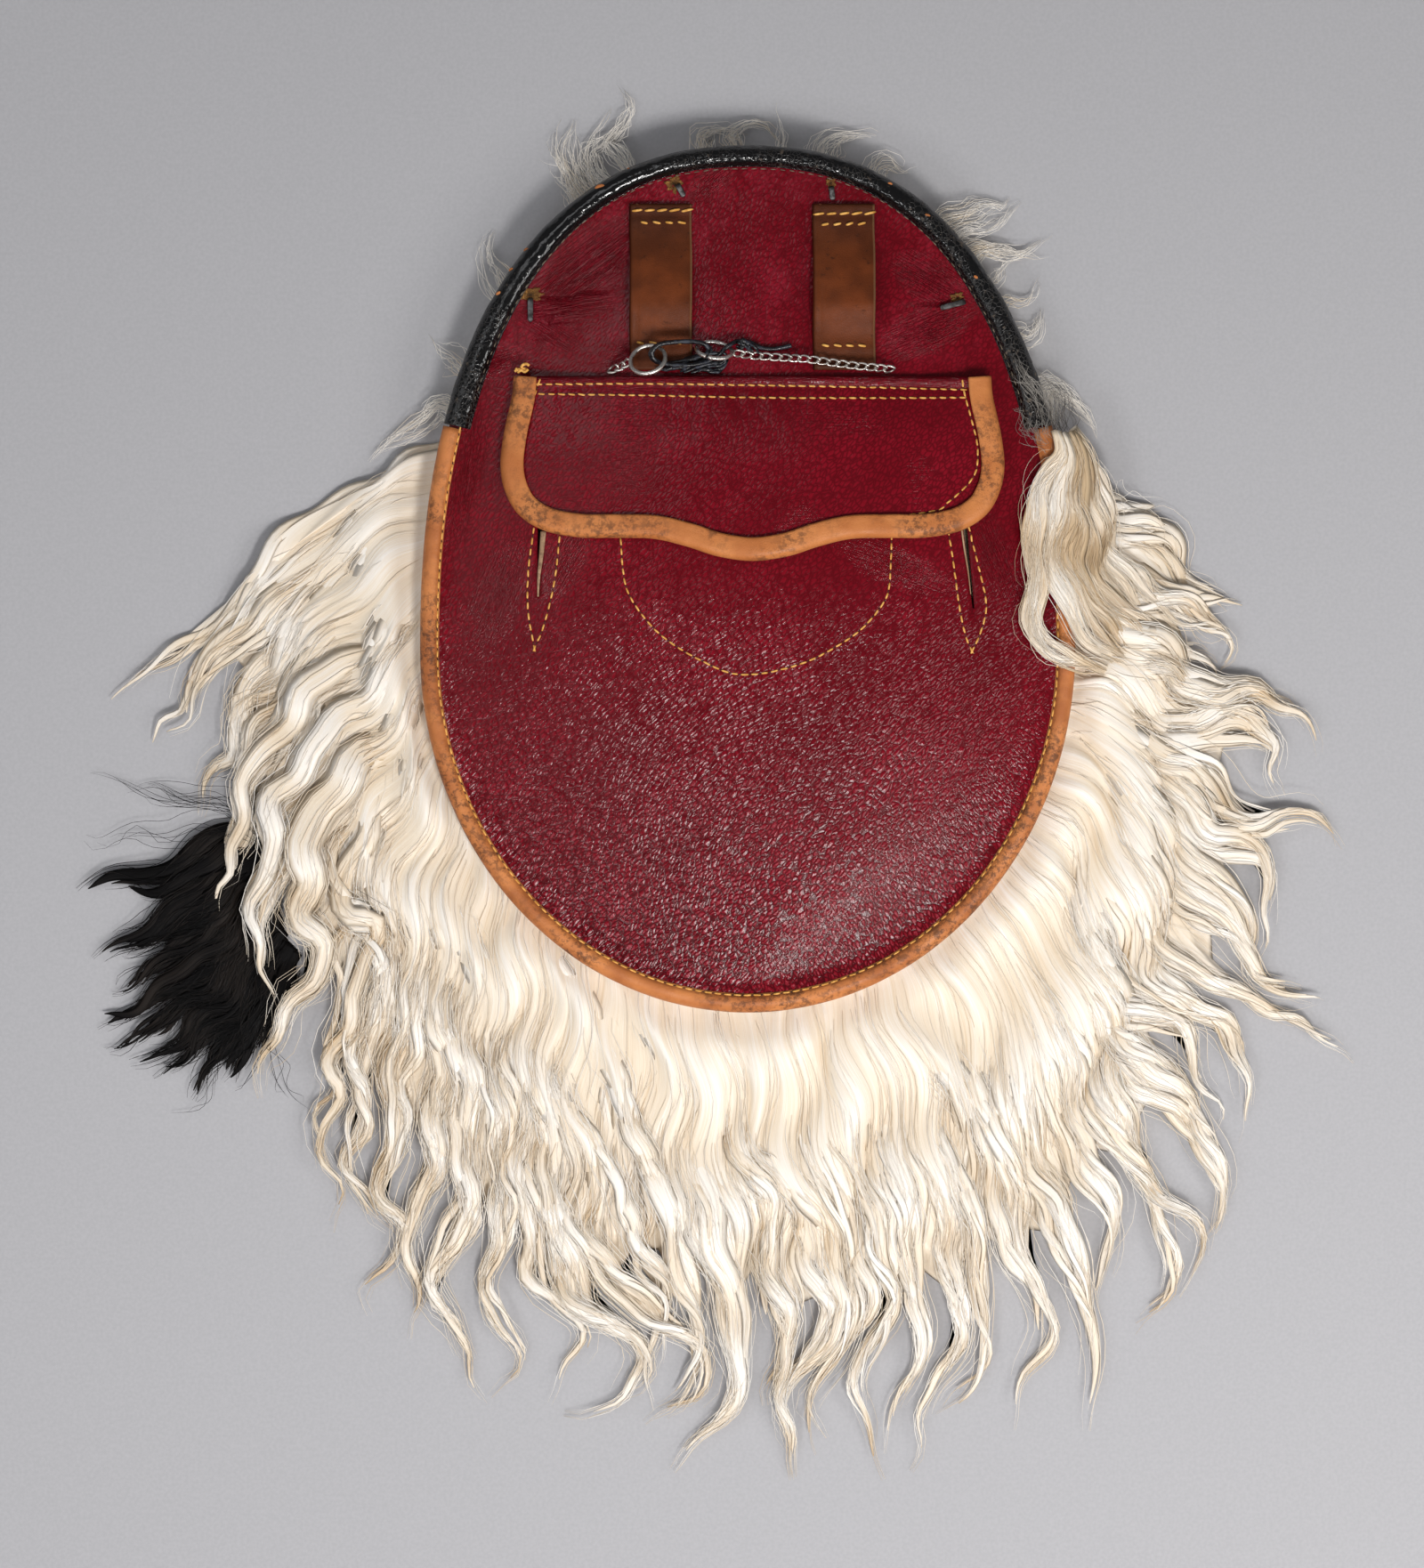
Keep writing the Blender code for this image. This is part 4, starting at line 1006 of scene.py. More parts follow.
def stitch_row(pixels, surface, pitch, length, slant=0.0, reach=0.5, shift=0.0):
    """Stitches on one row: centres at even steps, each an arch of STITCH_POINTS, reach mm high,
    whose ends lie under the surface. slant turns each against the row; a shift of 0.5 puts them
    between the stitches of the same row without one."""
    line = from_pixels(pixels) - BODY_AT
    line = smooth_line(line, LINE_POINTS) if len(line) > 2 else even_steps(line, LINE_POINTS)
    total = np.linalg.norm(np.diff(line, axis=0), axis=1).sum()
    count = max(int(round(total / pitch)), 2)
    at = (np.arange(count - (shift > 0)) + shift) / (count - 1) * (LINE_POINTS - 1)
    middles = np.stack([np.interp(at, np.arange(LINE_POINTS), axis) for axis in line.T], axis=1)
    travel = np.gradient(middles, axis=0)
    chance = np.random.default_rng(count)
    way = np.arctan2(travel[:, 1], travel[:, 0]) + slant + chance.normal(0.0, 0.05, len(middles))
    half = length / 2 * (1 + chance.normal(0.0, 0.06, len(way)))
    along = np.linspace(-1.0, 1.0, STITCH_POINTS)
    ways = np.stack([np.cos(way), np.sin(way)], axis=1)
    flat = middles[:, None] + (along * half[:, None])[..., None] * ways[:, None]
    arch = (reach * (1 - along**4) - STITCH_SINKS) * MM
    return np.dstack([flat, surface(flat[..., 0], flat[..., 1]) + arch])


def stitches(name, rows, finish, thick, sides=5):
    """All rows of one thread, as closed tubes with a few sides that thin towards their ends."""
    paths = np.concatenate([stitch_row(*row) for row in rows])
    size = thick / 2 * (1 - 0.35 * np.linspace(-1.0, 1.0, STITCH_POINTS) ** 2)
    add_tubes(name, paths, size, size * 0.85, sides, finish)


print("a stitch has", STITCH_POINTS, "sections")

# %% Read the rows
ROW_POCKET = [(698, 610), (700, 638), (705, 664), (719, 688), (739, 711), (763, 729), (792, 745),
              (821, 757), (851, 758), (885, 751), (911, 742), (936, 729), (962, 712), (980, 694),
              (993, 676), (998, 661), (1000, 635), (1001, 604)]
ROWS_SLITS = (
    [(600, 597), (594, 644), (594, 688), (601, 729)],
    [(629, 607), (625, 644), (619, 676), (610, 708), (601, 729)],
    [(1065, 599), (1070, 630), (1077, 681), (1084, 714), (1091, 731)],
    [(1088, 594), (1097, 630), (1106, 668), (1107, 689), (1100, 714), (1092, 731)],
)
ROWS_HEM = ([(606, 433), (720, 433), (860, 435), (980, 437), (1082, 439)],
            [(609, 444), (720, 446), (860, 449), (980, 449), (1081, 448)])
ROWS_FLAP = ([(606, 431), (597, 459), (590, 489), (588, 521)],
             [(1081, 432), (1084, 448), (1091, 474), (1097, 500), (1097, 523), (1092, 538),
              (1079, 553), (1064, 566), (1054, 574), (1023, 580), (985, 586), (945, 590),
              (911, 592)])
ROWS_LOOPS = ([(716, 237), (772, 237)], [(724, 251), (766, 251)], [(720, 387), (762, 387)],
              [(920, 241), (977, 240)], [(927, 253), (968, 252)], [(927, 390), (968, 390)])
print("rows:", 1 + sum(map(len, (ROWS_SLITS, ROWS_HEM, ROWS_FLAP, ROWS_LOOPS))))

# %% Sew the rows
STITCH_PITCH, STITCH_LENGTH = 3.3 * MM, 2.75 * MM


def skin(x, y):
    """The back panel's upper face, wrinkles and all."""
    return back_surface(x, y) + wrinkles(x, y)


def loop_face(x, y):
    """The top of whichever loop is nearer."""
    middle = np.where(x < 0, LOOPS[0][1], LOOPS[1][1])
    return loop_top(x, y, middle)


def edge_row(turns, inset):
    """A row along the outline, as pixels."""
    line = body_edge(turns, inset) + BODY_AT
    return (line - VIEW_AT) / (PIXEL, -PIXEL) + PICTURE / 2


def flat_at(height):
    """A surface with one height everywhere, for the rows along the padded edges."""
    return lambda x, _: np.full_like(x, height)


plain = (STITCH_PITCH, STITCH_LENGTH)
gold_rows = [(edge_row(tan_turns[::12], 5.9 * MM), flat_at(16.95 * MM), *plain)]
gold_rows += [(row, skin, *plain) for row in (ROW_POCKET, *ROWS_SLITS)]
gold_rows += [(row, flap_top, *plain, -0.08) for row in ROWS_HEM]
gold_rows += [(row, flap_top, *plain) for row in ROWS_FLAP]
loop_pitches, loop_slants = (3.7, 2.8, 2.8) * 2, (0.16, -0.22, -0.22, 0.16, 0.22, -0.2)
loop_rows = [(row, loop_face, pitch * MM, pitch * MM, slant, 0.75)
             for row, pitch, slant in zip(ROWS_LOOPS, loop_pitches, loop_slants)]
stitches("gold_stitches", gold_rows, gold_thread, 0.72 * MM)
stitches("loop_stitches", loop_rows, gold_thread, 0.95 * MM)
roll_row = (edge_row(roll_turns[::14], 8.0 * MM), flat_at(18.0 * MM), 3.2 * MM, 1.9 * MM)
stitches("roll_stitches", [roll_row], grey_thread, 0.42 * MM, sides=4)

# %% [markdown]
# Between two stitches the thread dives into a hole, and the hole lies in shade. That shade is
# painted: each hole is a short dark stitch that barely shows, half way between its neighbours.

# %% The holes between stitches
hole_rows = [(row[0], row[1], row[2], 1.3 * MM, 0.35, 0.36, 0.5) for row in gold_rows]
stitches("painted_hole_shade", hole_rows, hole_shade_thread, 0.62 * MM, sides=3)

# %% [markdown]
# ## Metal
# The rings, the chain and the four prongs are plated or bare steel, dulled by use. Metal has no
# colour of its own but what it reflects, so the finish varies how bright and how rough it is.


# %% Steel
def worn_steel(name, bright, dull, rough_low, rough_high):
    """Metal from bright to dull by noise, with fine scratches in the bump."""
    f = Finish(name, metallic=1.0)
    wear = f.range(f.noise(420.0, 6.0, rough=0.65), 0.35, 0.65)
    colour = f.mix(wear, bright, dull)
    rough = f.range(wear, 0.0, 1.0, rough_low, rough_high)
    return f.finish(colour, rough, f.bump(f.noise(2200.0, 4.0), 0.0001, 0.5))


steel = worn_steel("worn_steel", (0.88, 0.84, 0.78), (0.50, 0.46, 0.42), 0.22, 0.5)
prong_steel = worn_steel("prong_steel", (0.17, 0.165, 0.165), (0.060, 0.055, 0.052), 0.42, 0.70)

# %% [markdown]
# ## The rings
# Two rings of bent wire hold the chain and the thong. Each is a circle, tilted and turned as it
# lies in the photograph, and it stops a few degrees short of closing, where such a ring opens.

# %% Rings
RINGS = (  # name, x, y, z of its middle in mm, turn in plan, tilt, start of the split, degrees
    ("left", -33.5, 97.0, 30.6, 20.0, 38.0, 40.0),
    ("right", -11.2, 100.2, 30.0, -8.0, 60.0, 250.0),
)
RING_RADIUS, RING_WIRE = 6.0 * MM, 1.5 * MM


def wire_ring(name, x, y, z, turn, tilt, split):
    """A circle from split + 5 to split + 355 degrees, with a round section square to it, tilted
    about x and turned about z."""
    round_it = np.radians(split) + np.linspace(np.radians(5), np.radians(355), 72)[:, None]
    wire = once_round(14)[None]
    radius = RING_RADIUS + RING_WIRE / 2 * np.cos(wire)
    flat = np.stack([radius * np.cos(round_it), radius * np.sin(round_it),
                     RING_WIRE / 2 * np.sin(wire) + 0.0 * round_it], axis=-1)
    tilt, turn = np.radians(-tilt), np.radians(turn)
    cos, sin = np.cos(tilt), np.sin(tilt)
    about_x = np.array([[1, 0, 0], [0, cos, -sin], [0, sin, cos]])
    cos, sin = np.cos(turn), np.sin(turn)
    about_z = np.array([[cos, -sin, 0], [sin, cos, 0], [0, 0, 1]])
    points = flat @ (about_z @ about_x).T + np.array([x, y, z]) * MM
    bar(f"wire_ring_{name}", points, steel, [f"ring_{name}"])


for ring_row in RINGS:
    wire_ring(*ring_row)

# %% [markdown]
# ## The curb chain
# Each link of a curb chain is an oval of wire, twisted so that the whole chain lies flat. All its
# links lean the same way. One link is worked out once as an array, and all links follow from it:
# turned to the chain's direction and moved along its route.

# %% Make the chain
CHAIN_ROUTE = (  # x, y, height above the back, in mm
    (-3.0, 99.1, 4.2), (1.0, 98.6, 2.1), (10.0, 98.0, 1.8), (16.0, 97.6, 2.9), (20.5, 97.2, 4.2),
    (30.0, 95.9, 4.1), (38.0, 94.9, 4.1), (43.0, 94.5, 4.2), (47.4, 94.1, 2.1),
)
STUB_ROUTE = ((-40.9, 95.9, 4.4), (-42.8, 94.9, 2.6), (-45.2, 94.2, 1.3))
LINK_PITCH, LINK_LONG, LINK_WIDE, LINK_WIRE = 3.0 * MM, 2.05 * MM, 1.15 * MM, 0.78 * MM
LINK_STEPS, WIRE_STEPS = 22, 8  # round the oval, round the wire
LINK_LEANS = (14.0, 22.0)  # degrees, in turn


def over_back(route, count):
    """A smooth line through rows (x, y, height above the back), in millimetres."""
    route = np.array(route) * MM
    route[:, 2] += back_surface(route[:, 0], route[:, 1])
    return smooth_line(route, count)


def one_link():
    """An oval of wire: centre line (long x cos, wide x sin), twisted by a height of sin(2 x) and
    slanted so that its upper side runs ahead."""
    a = once_round(LINK_STEPS)[:, None]
    b = once_round(WIRE_STEPS)[None]
    reach = LINK_WIRE / 2 * np.cos(b)
    x = (LINK_LONG + reach) * np.cos(a)
    y = (LINK_WIDE + reach) * np.sin(a)
    z = LINK_WIRE / 2 * np.sin(b) + 0.55 * MM * np.sin(2 * a)
    return np.stack([x + 0.35 * y, y, z], axis=-1)


def ring_faces(rows, columns):
    """Faces of a grid that is closed both ways."""
    index = np.arange(rows * columns).reshape(rows, columns)
    after, right = np.roll(index, -1, axis=0), np.roll(index, -1, axis=1)
    corner = np.roll(after, -1, axis=1)
    return np.stack([index, after, corner, right], axis=-1).reshape(-1, 4)


def curb_chain(name, route, node):
    """Every link = the one link, leaned about its own length by LINK_LEANS in turn, turned to the
    route's direction, and moved to its place."""
    length = np.linalg.norm(np.diff(over_back(route, 300), axis=0), axis=1).sum()
    count = max(int(round(length / LINK_PITCH)), 3)
    places = over_back(route, count)
    travel = unit(np.gradient(places, axis=0))
    left = unit(np.cross((0.0, 0.0, 1.0), travel))
    up = np.cross(travel, left)
    lean = np.radians(np.resize(LINK_LEANS, count))[:, None]
    left, up = left * np.cos(lean) + up * np.sin(lean), up * np.cos(lean) - left * np.sin(lean)
    turned = np.stack([travel, left, up], axis=1)
    points = one_link().reshape(-1, 3)[None] @ turned + places[:, None]
    first = np.arange(count) * LINK_STEPS * WIRE_STEPS
    quads = (ring_faces(LINK_STEPS, WIRE_STEPS) + first[:, None, None]).reshape(-1, 4)
    add_piece(name, points, quads, [], steel, [node])


curb_chain("curb_chain", CHAIN_ROUTE, "chain")
curb_chain("curb_stub", STUB_ROUTE, "chain_stub")

# %% [markdown]
# ## The thong
# A black leather lace is wound twice round both rings, and its tail runs away to the right. It is
# a free cord, so it has a real length and thickness, and it lies exactly where its solid lies. The
# route is a list of given points; a round section is carried along it.


# %% Black lace
def lace_leather():
    """Black with a painted blue sheen in noisy patches, wrinkled across by stretched noise."""
    f = Finish("lace_leather", specular_ior_level=0.5)
    # Painted sheen: bluish lighter patches stand in for highlights on the black lace.
    painted_sheen = f.range(f.noise(500.0, 4.0), 0.45, 0.7)
    colour = f.mix(painted_sheen, (0.004, 0.004, 0.005), (0.030, 0.035, 0.050))
    rough = f.range(painted_sheen, 0.0, 1.0, 0.28, 0.5)
    return f.finish(colour, rough, f.bump(f.noise(1500.0, 3.0), 0.0002, 0.7))


lace = lace_leather()

# %% Wind the thong
THONG_ROUTE = (  # x, y, height above the back, in mm
    (-25.4, 94.3, 3.6), (-20.6, 94.8, 3.6), (-16.8, 96.2, 3.3), (-13.3, 98.2, 2.6),
    (-12.5, 100.6, 4.2), (-15.2, 102.6, 6.3), (-20.2, 103.0, 6.2), (-25.4, 102.9, 6.4),
    (-29.8, 102.1, 7.2), (-32.7, 99.5, 6.4), (-31.4, 96.7, 4.7), (-27.4, 95.9, 3.8),
    (-22.4, 96.5, 3.8), (-17.2, 97.6, 4.4), (-13.1, 99.6, 6.4),
    (-14.6, 102.2, 8.2), (-18.8, 103.0, 8.2), (-24.0, 102.8, 8.4), (-29.6, 101.9, 9.1),
    (-32.2, 99.2, 8.2), (-30.8, 96.6, 6.5), (-26.2, 95.4, 5.7), (-20.8, 95.1, 5.7),
    (-16.8, 95.6, 5.0), (-13.0, 96.7, 3.2), (-9.8, 98.6, 3.2), (-6.9, 101.4, 5.1),
    (-3.4, 103.4, 3.2), (0.6, 103.2, 1.5), (4.0, 101.4, 1.3), (8.4, 100.8, 1.25),
    (14.7, 102.0, 1.25),
)
THONG_POINTS, THONG_THICKNESS = 78, 1.5 * MM


def carried_frames(line):
    """Directions across a line that never spin: each is the one before, made square again to
    the direction of travel."""
    travel = unit(np.gradient(line, axis=0))
    across = [np.cross(travel[0], (0.0, 0.0, 1.0))]
    for way in travel[1:]:
        across.append(across[-1] - way * (across[-1] @ way))
        across[-1] = across[-1] / np.linalg.norm(across[-1])
    across = np.array(across) / np.linalg.norm(across[0])
    return across, np.cross(across, travel)


def thong():
    """A circle of THONG_THICKNESS carried along the route at 4 stations for each of its points."""
    line = even_steps(over_back(THONG_ROUTE, THONG_POINTS), 4 * THONG_POINTS)
    across, up = carried_frames(line)
    turns = once_round(12)[None, :, None]
    around = across[:, None] * np.cos(turns) + up[:, None] * np.sin(turns)
    sections = line[:, None] + THONG_THICKNESS / 2 * around
    piece = bar("lace", sections, lace, ["thong"])
    path = on_body(line)


thong()

# %% [markdown]
# The lace is old: one end has split into a fan of ragged strips that hangs below the rings, and a
# hard little knot sits behind the right ring. Both are short flat tubes through chosen points.

# %% Ragged ends of the lace
RAGGED = (  # half width and height above the back in mm, then pixels
    (0.75, 3.2, 737, 416, 750, 417, 764, 410, 778, 403, 796, 400),
    (0.85, 3.6, 745, 418, 762, 414, 776, 406, 792, 400, 808, 399),
    (0.80, 2.6, 764, 420, 776, 413, 790, 407, 806, 403, 816, 404),
    (0.70, 2.9, 768, 421, 782, 415, 796, 411, 810, 409, 817, 404),
    (0.75, 2.0, 776, 421, 790, 417, 803, 418, 813, 414, 818, 406),
    (0.60, 2.2, 784, 420, 795, 414, 806, 413, 814, 410, 815, 405),
    (0.60, 1.8, 792, 418, 800, 420, 809, 419, 813, 414),
    (0.55, 3.4, 765, 419, 772, 416, 784, 409, 797, 406),
    (0.55, 3.9, 812, 398, 816, 402, 813, 408, 806, 412),
    (0.85, 3.6, 825, 384, 831, 387, 838, 391, 846, 397),
    (0.90, 4.4, 829, 389, 834, 385, 840, 388, 842, 393),
    (0.80, 3.0, 833, 382, 836, 388, 832, 393, 827, 391),
    (0.60, 3.8, 836, 384, 842, 389, 849, 393, 852, 400),
)
RAGGED_STATIONS = 16


def ragged_ends():
    """Flattened tubes through the points, with ends that thin out and heights that wander."""
    paths = np.empty((len(RAGGED), RAGGED_STATIONS, 3))
    for k, (_, high, *pixels) in enumerate(RAGGED):
        line = traced(pixels, RAGGED_STATIONS)
        wander = 0.5 * smooth_noise(np.arange(RAGGED_STATIONS), np.array(3.0 * k), 3.0, 2)
        paths[k] = np.column_stack([line, back_surface(*line.T) + (high + wander) * MM])
    t = np.linspace(-1.0, 1.0, RAGGED_STATIONS)
    wide = np.array([row[0] for row in RAGGED])[:, None] * MM * (1 - 0.6 * t**4)
    wide = wide * (1 + 0.18 * np.sin(9 * t + np.arange(len(RAGGED))[:, None]))
    add_tubes("ragged_lace", paths, wide, 0.75 * wide, 8, lace)


ragged_ends()

# %% [markdown]
# ## Prongs and torn holes
# The silver front is held by prongs that come through the back and are bent over. Each has torn
# its hole, so that the yellow flesh of the leather stands up round it in shreds. A prong is a flat
# bar carried along a bent path. A torn hole is a closed lens with a ragged rim, and the shade in
# its middle is painted dark.


# %% Torn leather
def torn_leather():
    """Fibrous yellow-brown, with painted shade, nearly black, where the mesh's value says the hole
    is deep.
    """
    f = Finish("torn_leather", specular_ior_level=0.25)
    fibres = f.range(f.noise(900.0, 5.0, rough=0.7), 0.35, 0.65)
    colour = f.mix(fibres, (0.15, 0.060, 0.016), (0.42, 0.20, 0.055))
    colour = f.mix(f.value("deep"), colour, (0.012, 0.006, 0.005))
    return f.finish(colour, f.range(fibres, 0.0, 1.0, 0.7, 0.9), f.bump(fibres, 0.0006, 0.9))


torn = torn_leather()

# %% Bend the prongs over
HOLES = (  # x, y, half length, half height in mm, direction in degrees
    (-73.2, 119.6, 3.9, 2.3, 0.0),
    (-24.8, 156.8, 2.5, 2.9, 20.0),
    (28.0, 157.2, 1.6, 1.9, 0.0),
    (70.6, 118.6, 2.3, 1.8, 20.0),
)
PRONG_STATIONS = 30


def prong(number, x, y, way, length):
    """A flat section carried up through the hole, over a bend and down along the leather."""
    along = np.array([0.0, 0.1, 0.35, 0.9, 1.8, 3.2, 5.0, 6.6, 7.6, 8.0]) / 8.0 * length
    height = np.array([-1.6, -0.4, 0.6, 1.15, 1.3, 1.2, 1.05, 0.9, 0.75, 0.7])
    line = even_steps(smooth_line(np.stack([along, height], axis=1), 60), PRONG_STATIONS)
    way = np.radians(way)
    flat = np.array([x, y]) + line[:, :1] * [np.cos(way), np.sin(way)]
    middle = np.column_stack([flat * MM, skin(*(flat.T * MM)) + line[:, 1] * MM])
    travel = unit(np.gradient(line, axis=0))
    side = np.array([-np.sin(way), np.cos(way), 0.0])
    rise = np.column_stack([-travel[:, 1:] * [np.cos(way), np.sin(way)], travel[:, 0]])
    turn = once_round(16)
    station = np.arange(PRONG_STATIONS)
    wide = (0.95 + 0.10 * smooth_noise(station, 0 * station + number, 4.0, 3))[:, None, None]
    box = np.sign([np.cos(turn), np.sin(turn)]) * np.abs([np.cos(turn), np.sin(turn)]) ** 0.6
    blunt = np.minimum(1.0, 0.45 + 0.3 * station[::-1])[:, None, None]
    reach = wide * side * box[0][None, :, None] + 0.5 * rise[:, None] * box[1][None, :, None]
    sections = middle[:, None] + blunt * MM * reach
    bar(f"prong_{number}", sections, prong_steel, [f"cantle_pin_{number}"])


def torn_hole(number, x, y, long, high, way):
    """Rings: out over a middle with painted shade and a shredded, ragged rim, and back underneath.
    """
    reach = np.array([0.08, 0.30, 0.50, 0.66, 0.80, 0.92, 1.0, 0.98, 0.5, 0.08])[:, None]
    lift = np.array([0.05, 0.15, 0.28, 0.42, 0.50, 0.34, 0.05, -0.6, -0.9, -0.9])[:, None]
    turn = once_round(56)[None]
    shreds = 0.22 * smooth_noise(9 * turn / (2 * np.pi) * 1.6, 5.0 * number + 0 * turn, 1.0, 5)
    shreds = shreds + 0.16 * np.sin(7 * turn + number) + 0.10 * np.sin(17 * turn)
    reach = reach * (1 + shreds * (reach > 0.4))
    u, v = long * reach * np.cos(turn), high * reach * np.sin(turn)
    cos, sin = np.cos(np.radians(way)), np.sin(np.radians(way))
    flat = np.stack([x + u * cos - v * sin, y + u * sin + v * cos], axis=-1) * MM
    rough = 0.32 * smooth_noise(flat[..., 0] / MM, flat[..., 1] / MM, 0.6, 6) * (lift > -0.3)
    top = skin(flat[..., 0], flat[..., 1]) + (lift + rough) * MM
    # Painted shade: the middle of the hole is darkened as if it lay deep.
    deep = 0.85 * smooth_step((0.40 - reach) / 0.2) + 0 * turn
    bar(f"torn_hole_{number}", np.dstack([flat, top]), torn,
        values={"deep": deep})


for number, prong_row in enumerate(PRONGS, start=1):
    prong(number, *prong_row)
for number, hole_row in enumerate(HOLES, start=1):
    torn_hole(number, *hole_row)

# %% [markdown]
# ## Small signs of use
# The pale inner lip of the left slit curls up, flecks of the roll's lacquer are knocked off, and
# the end of the flap's thread stands up in a little tangle.

# %% Lips of the slits
raw_lip = tan_leather("raw_lip", (0.50, 0.33, 0.20), (0.34, 0.20, 0.11), (0.14, 0.07, 0.04))
LIP_STATIONS, LIP_AROUND = 40, 12


def slit_lip(name, pixels, half_widths):
    """A low rounded band along one side of a slit."""
    line = traced(pixels, LIP_STATIONS)
    t = np.linspace(0, 1, LIP_STATIONS)
    half = np.interp(t, np.linspace(0, 1, len(half_widths)), half_widths) * MM
    turn = once_round(LIP_AROUND)
    flat = line[:, None] + sideways(line)[:, None] * (half[:, None] * np.cos(turn))[..., None]
    top = skin(flat[..., 0], flat[..., 1]) + (0.45 * np.sin(turn) + 0.05) * MM
    bar(name, np.dstack([flat, top]), raw_lip)


slit_lip("slit_lip_left", [(611, 598), (609, 622), (606, 648), (605, 671)], (0.95, 0.8, 0.55, 0.3))
right_lip = [(1080, 596), (1083, 618), (1087, 642), (1090, 668)]
slit_lip("slit_lip_right", right_lip, (0.35, 0.3, 0.25, 0.15))

# %% Nicks in the roll
NICKS = ((674, 211, 1.0, 1.7), (591, 281, 0.6, 0.9), (574, 303, 0.5, 0.8), (706, 190, 0.4, 0.5),
         (560, 330, 0.5, 0.9), (1000, 207, 0.5, 0.8), (1042, 243, 0.6, 1.0), (1096, 312, 0.5, 0.8))


def outside(x, y):
    """Distance past the outline, along the line from the body's middle; negative inside."""
    return np.hypot(x, y) * (1.0 - 1.0 / np.maximum(body_radius(x, y), 1e-6))


def nicks():
    """Small upright drops of bare leather, set into the roll's upper side."""
    rows = np.array(NICKS, float)
    flat = from_pixels(rows[:, :2]) - BODY_AT
    turn = np.arctan2(flat[:, 1], flat[:, 0])
    half = rows[:, 3:] * MM * np.stack([-np.sin(turn), np.cos(turn)], axis=1)
    t = np.linspace(-1.0, 1.0, 9)
    line = flat[:, None] + half[:, None] * t[None, :, None]
    inward = np.clip(-outside(line[..., 0], line[..., 1]) / (8.6 * MM), 0.02, 0.98)
    top = 14.65 * MM + 5.05 * MM * np.sqrt(1 - (2 * inward - 1) ** 2) - 0.05 * MM
    wide = rows[:, 2:3] * MM * np.sqrt(1.02 - t**2)
    add_tubes("nicks", np.dstack([line, top]), wide, 0.35 * wide, 8, suede)


nicks()

# %% The thread's end
THREAD_ENDS = ((579, 418, 583, 416, 588, 417, 592, 415), (580, 415, 584, 418, 589, 415, 593, 418),
               (582, 420, 586, 417, 590, 419, 594, 416), (586, 414, 588, 411, 592, 410, 595, 412))


def thread_end():
    """Short tangled ends of thread on the left end of the flap's binding."""
    paths = []
    for row, end in enumerate(THREAD_ENDS):
        line = traced(end, 20)
        top = skin(*line.T) + (3.4 + 0.25 * row + 0.3 * np.sin(np.linspace(0, 6, 20) + row)) * MM
        paths.append(np.column_stack([line, top]))
    add_tubes("thread_end", np.array(paths), 0.5 * MM, 0.45 * MM, 7, gold_thread)


thread_end()

# %% [markdown]
# ## Hair, from flows to locks
# The front of the sporran is goat hide with long wavy hair, and the sporran lies on it, so the
# hair spreads out from under the edge. Blender's own hair would not survive an export, so the hair
# is real geometry in three depths: a mat near the body, locks of hair as tapering solids that
# come up out of it, and thousands of single strands that lie on the locks and give them silk.
#
# It all grows from a few dozen flows: lines read off the photograph, from the body's edge to a
# tip, in order round the body. A lock between two flows takes a share of each.

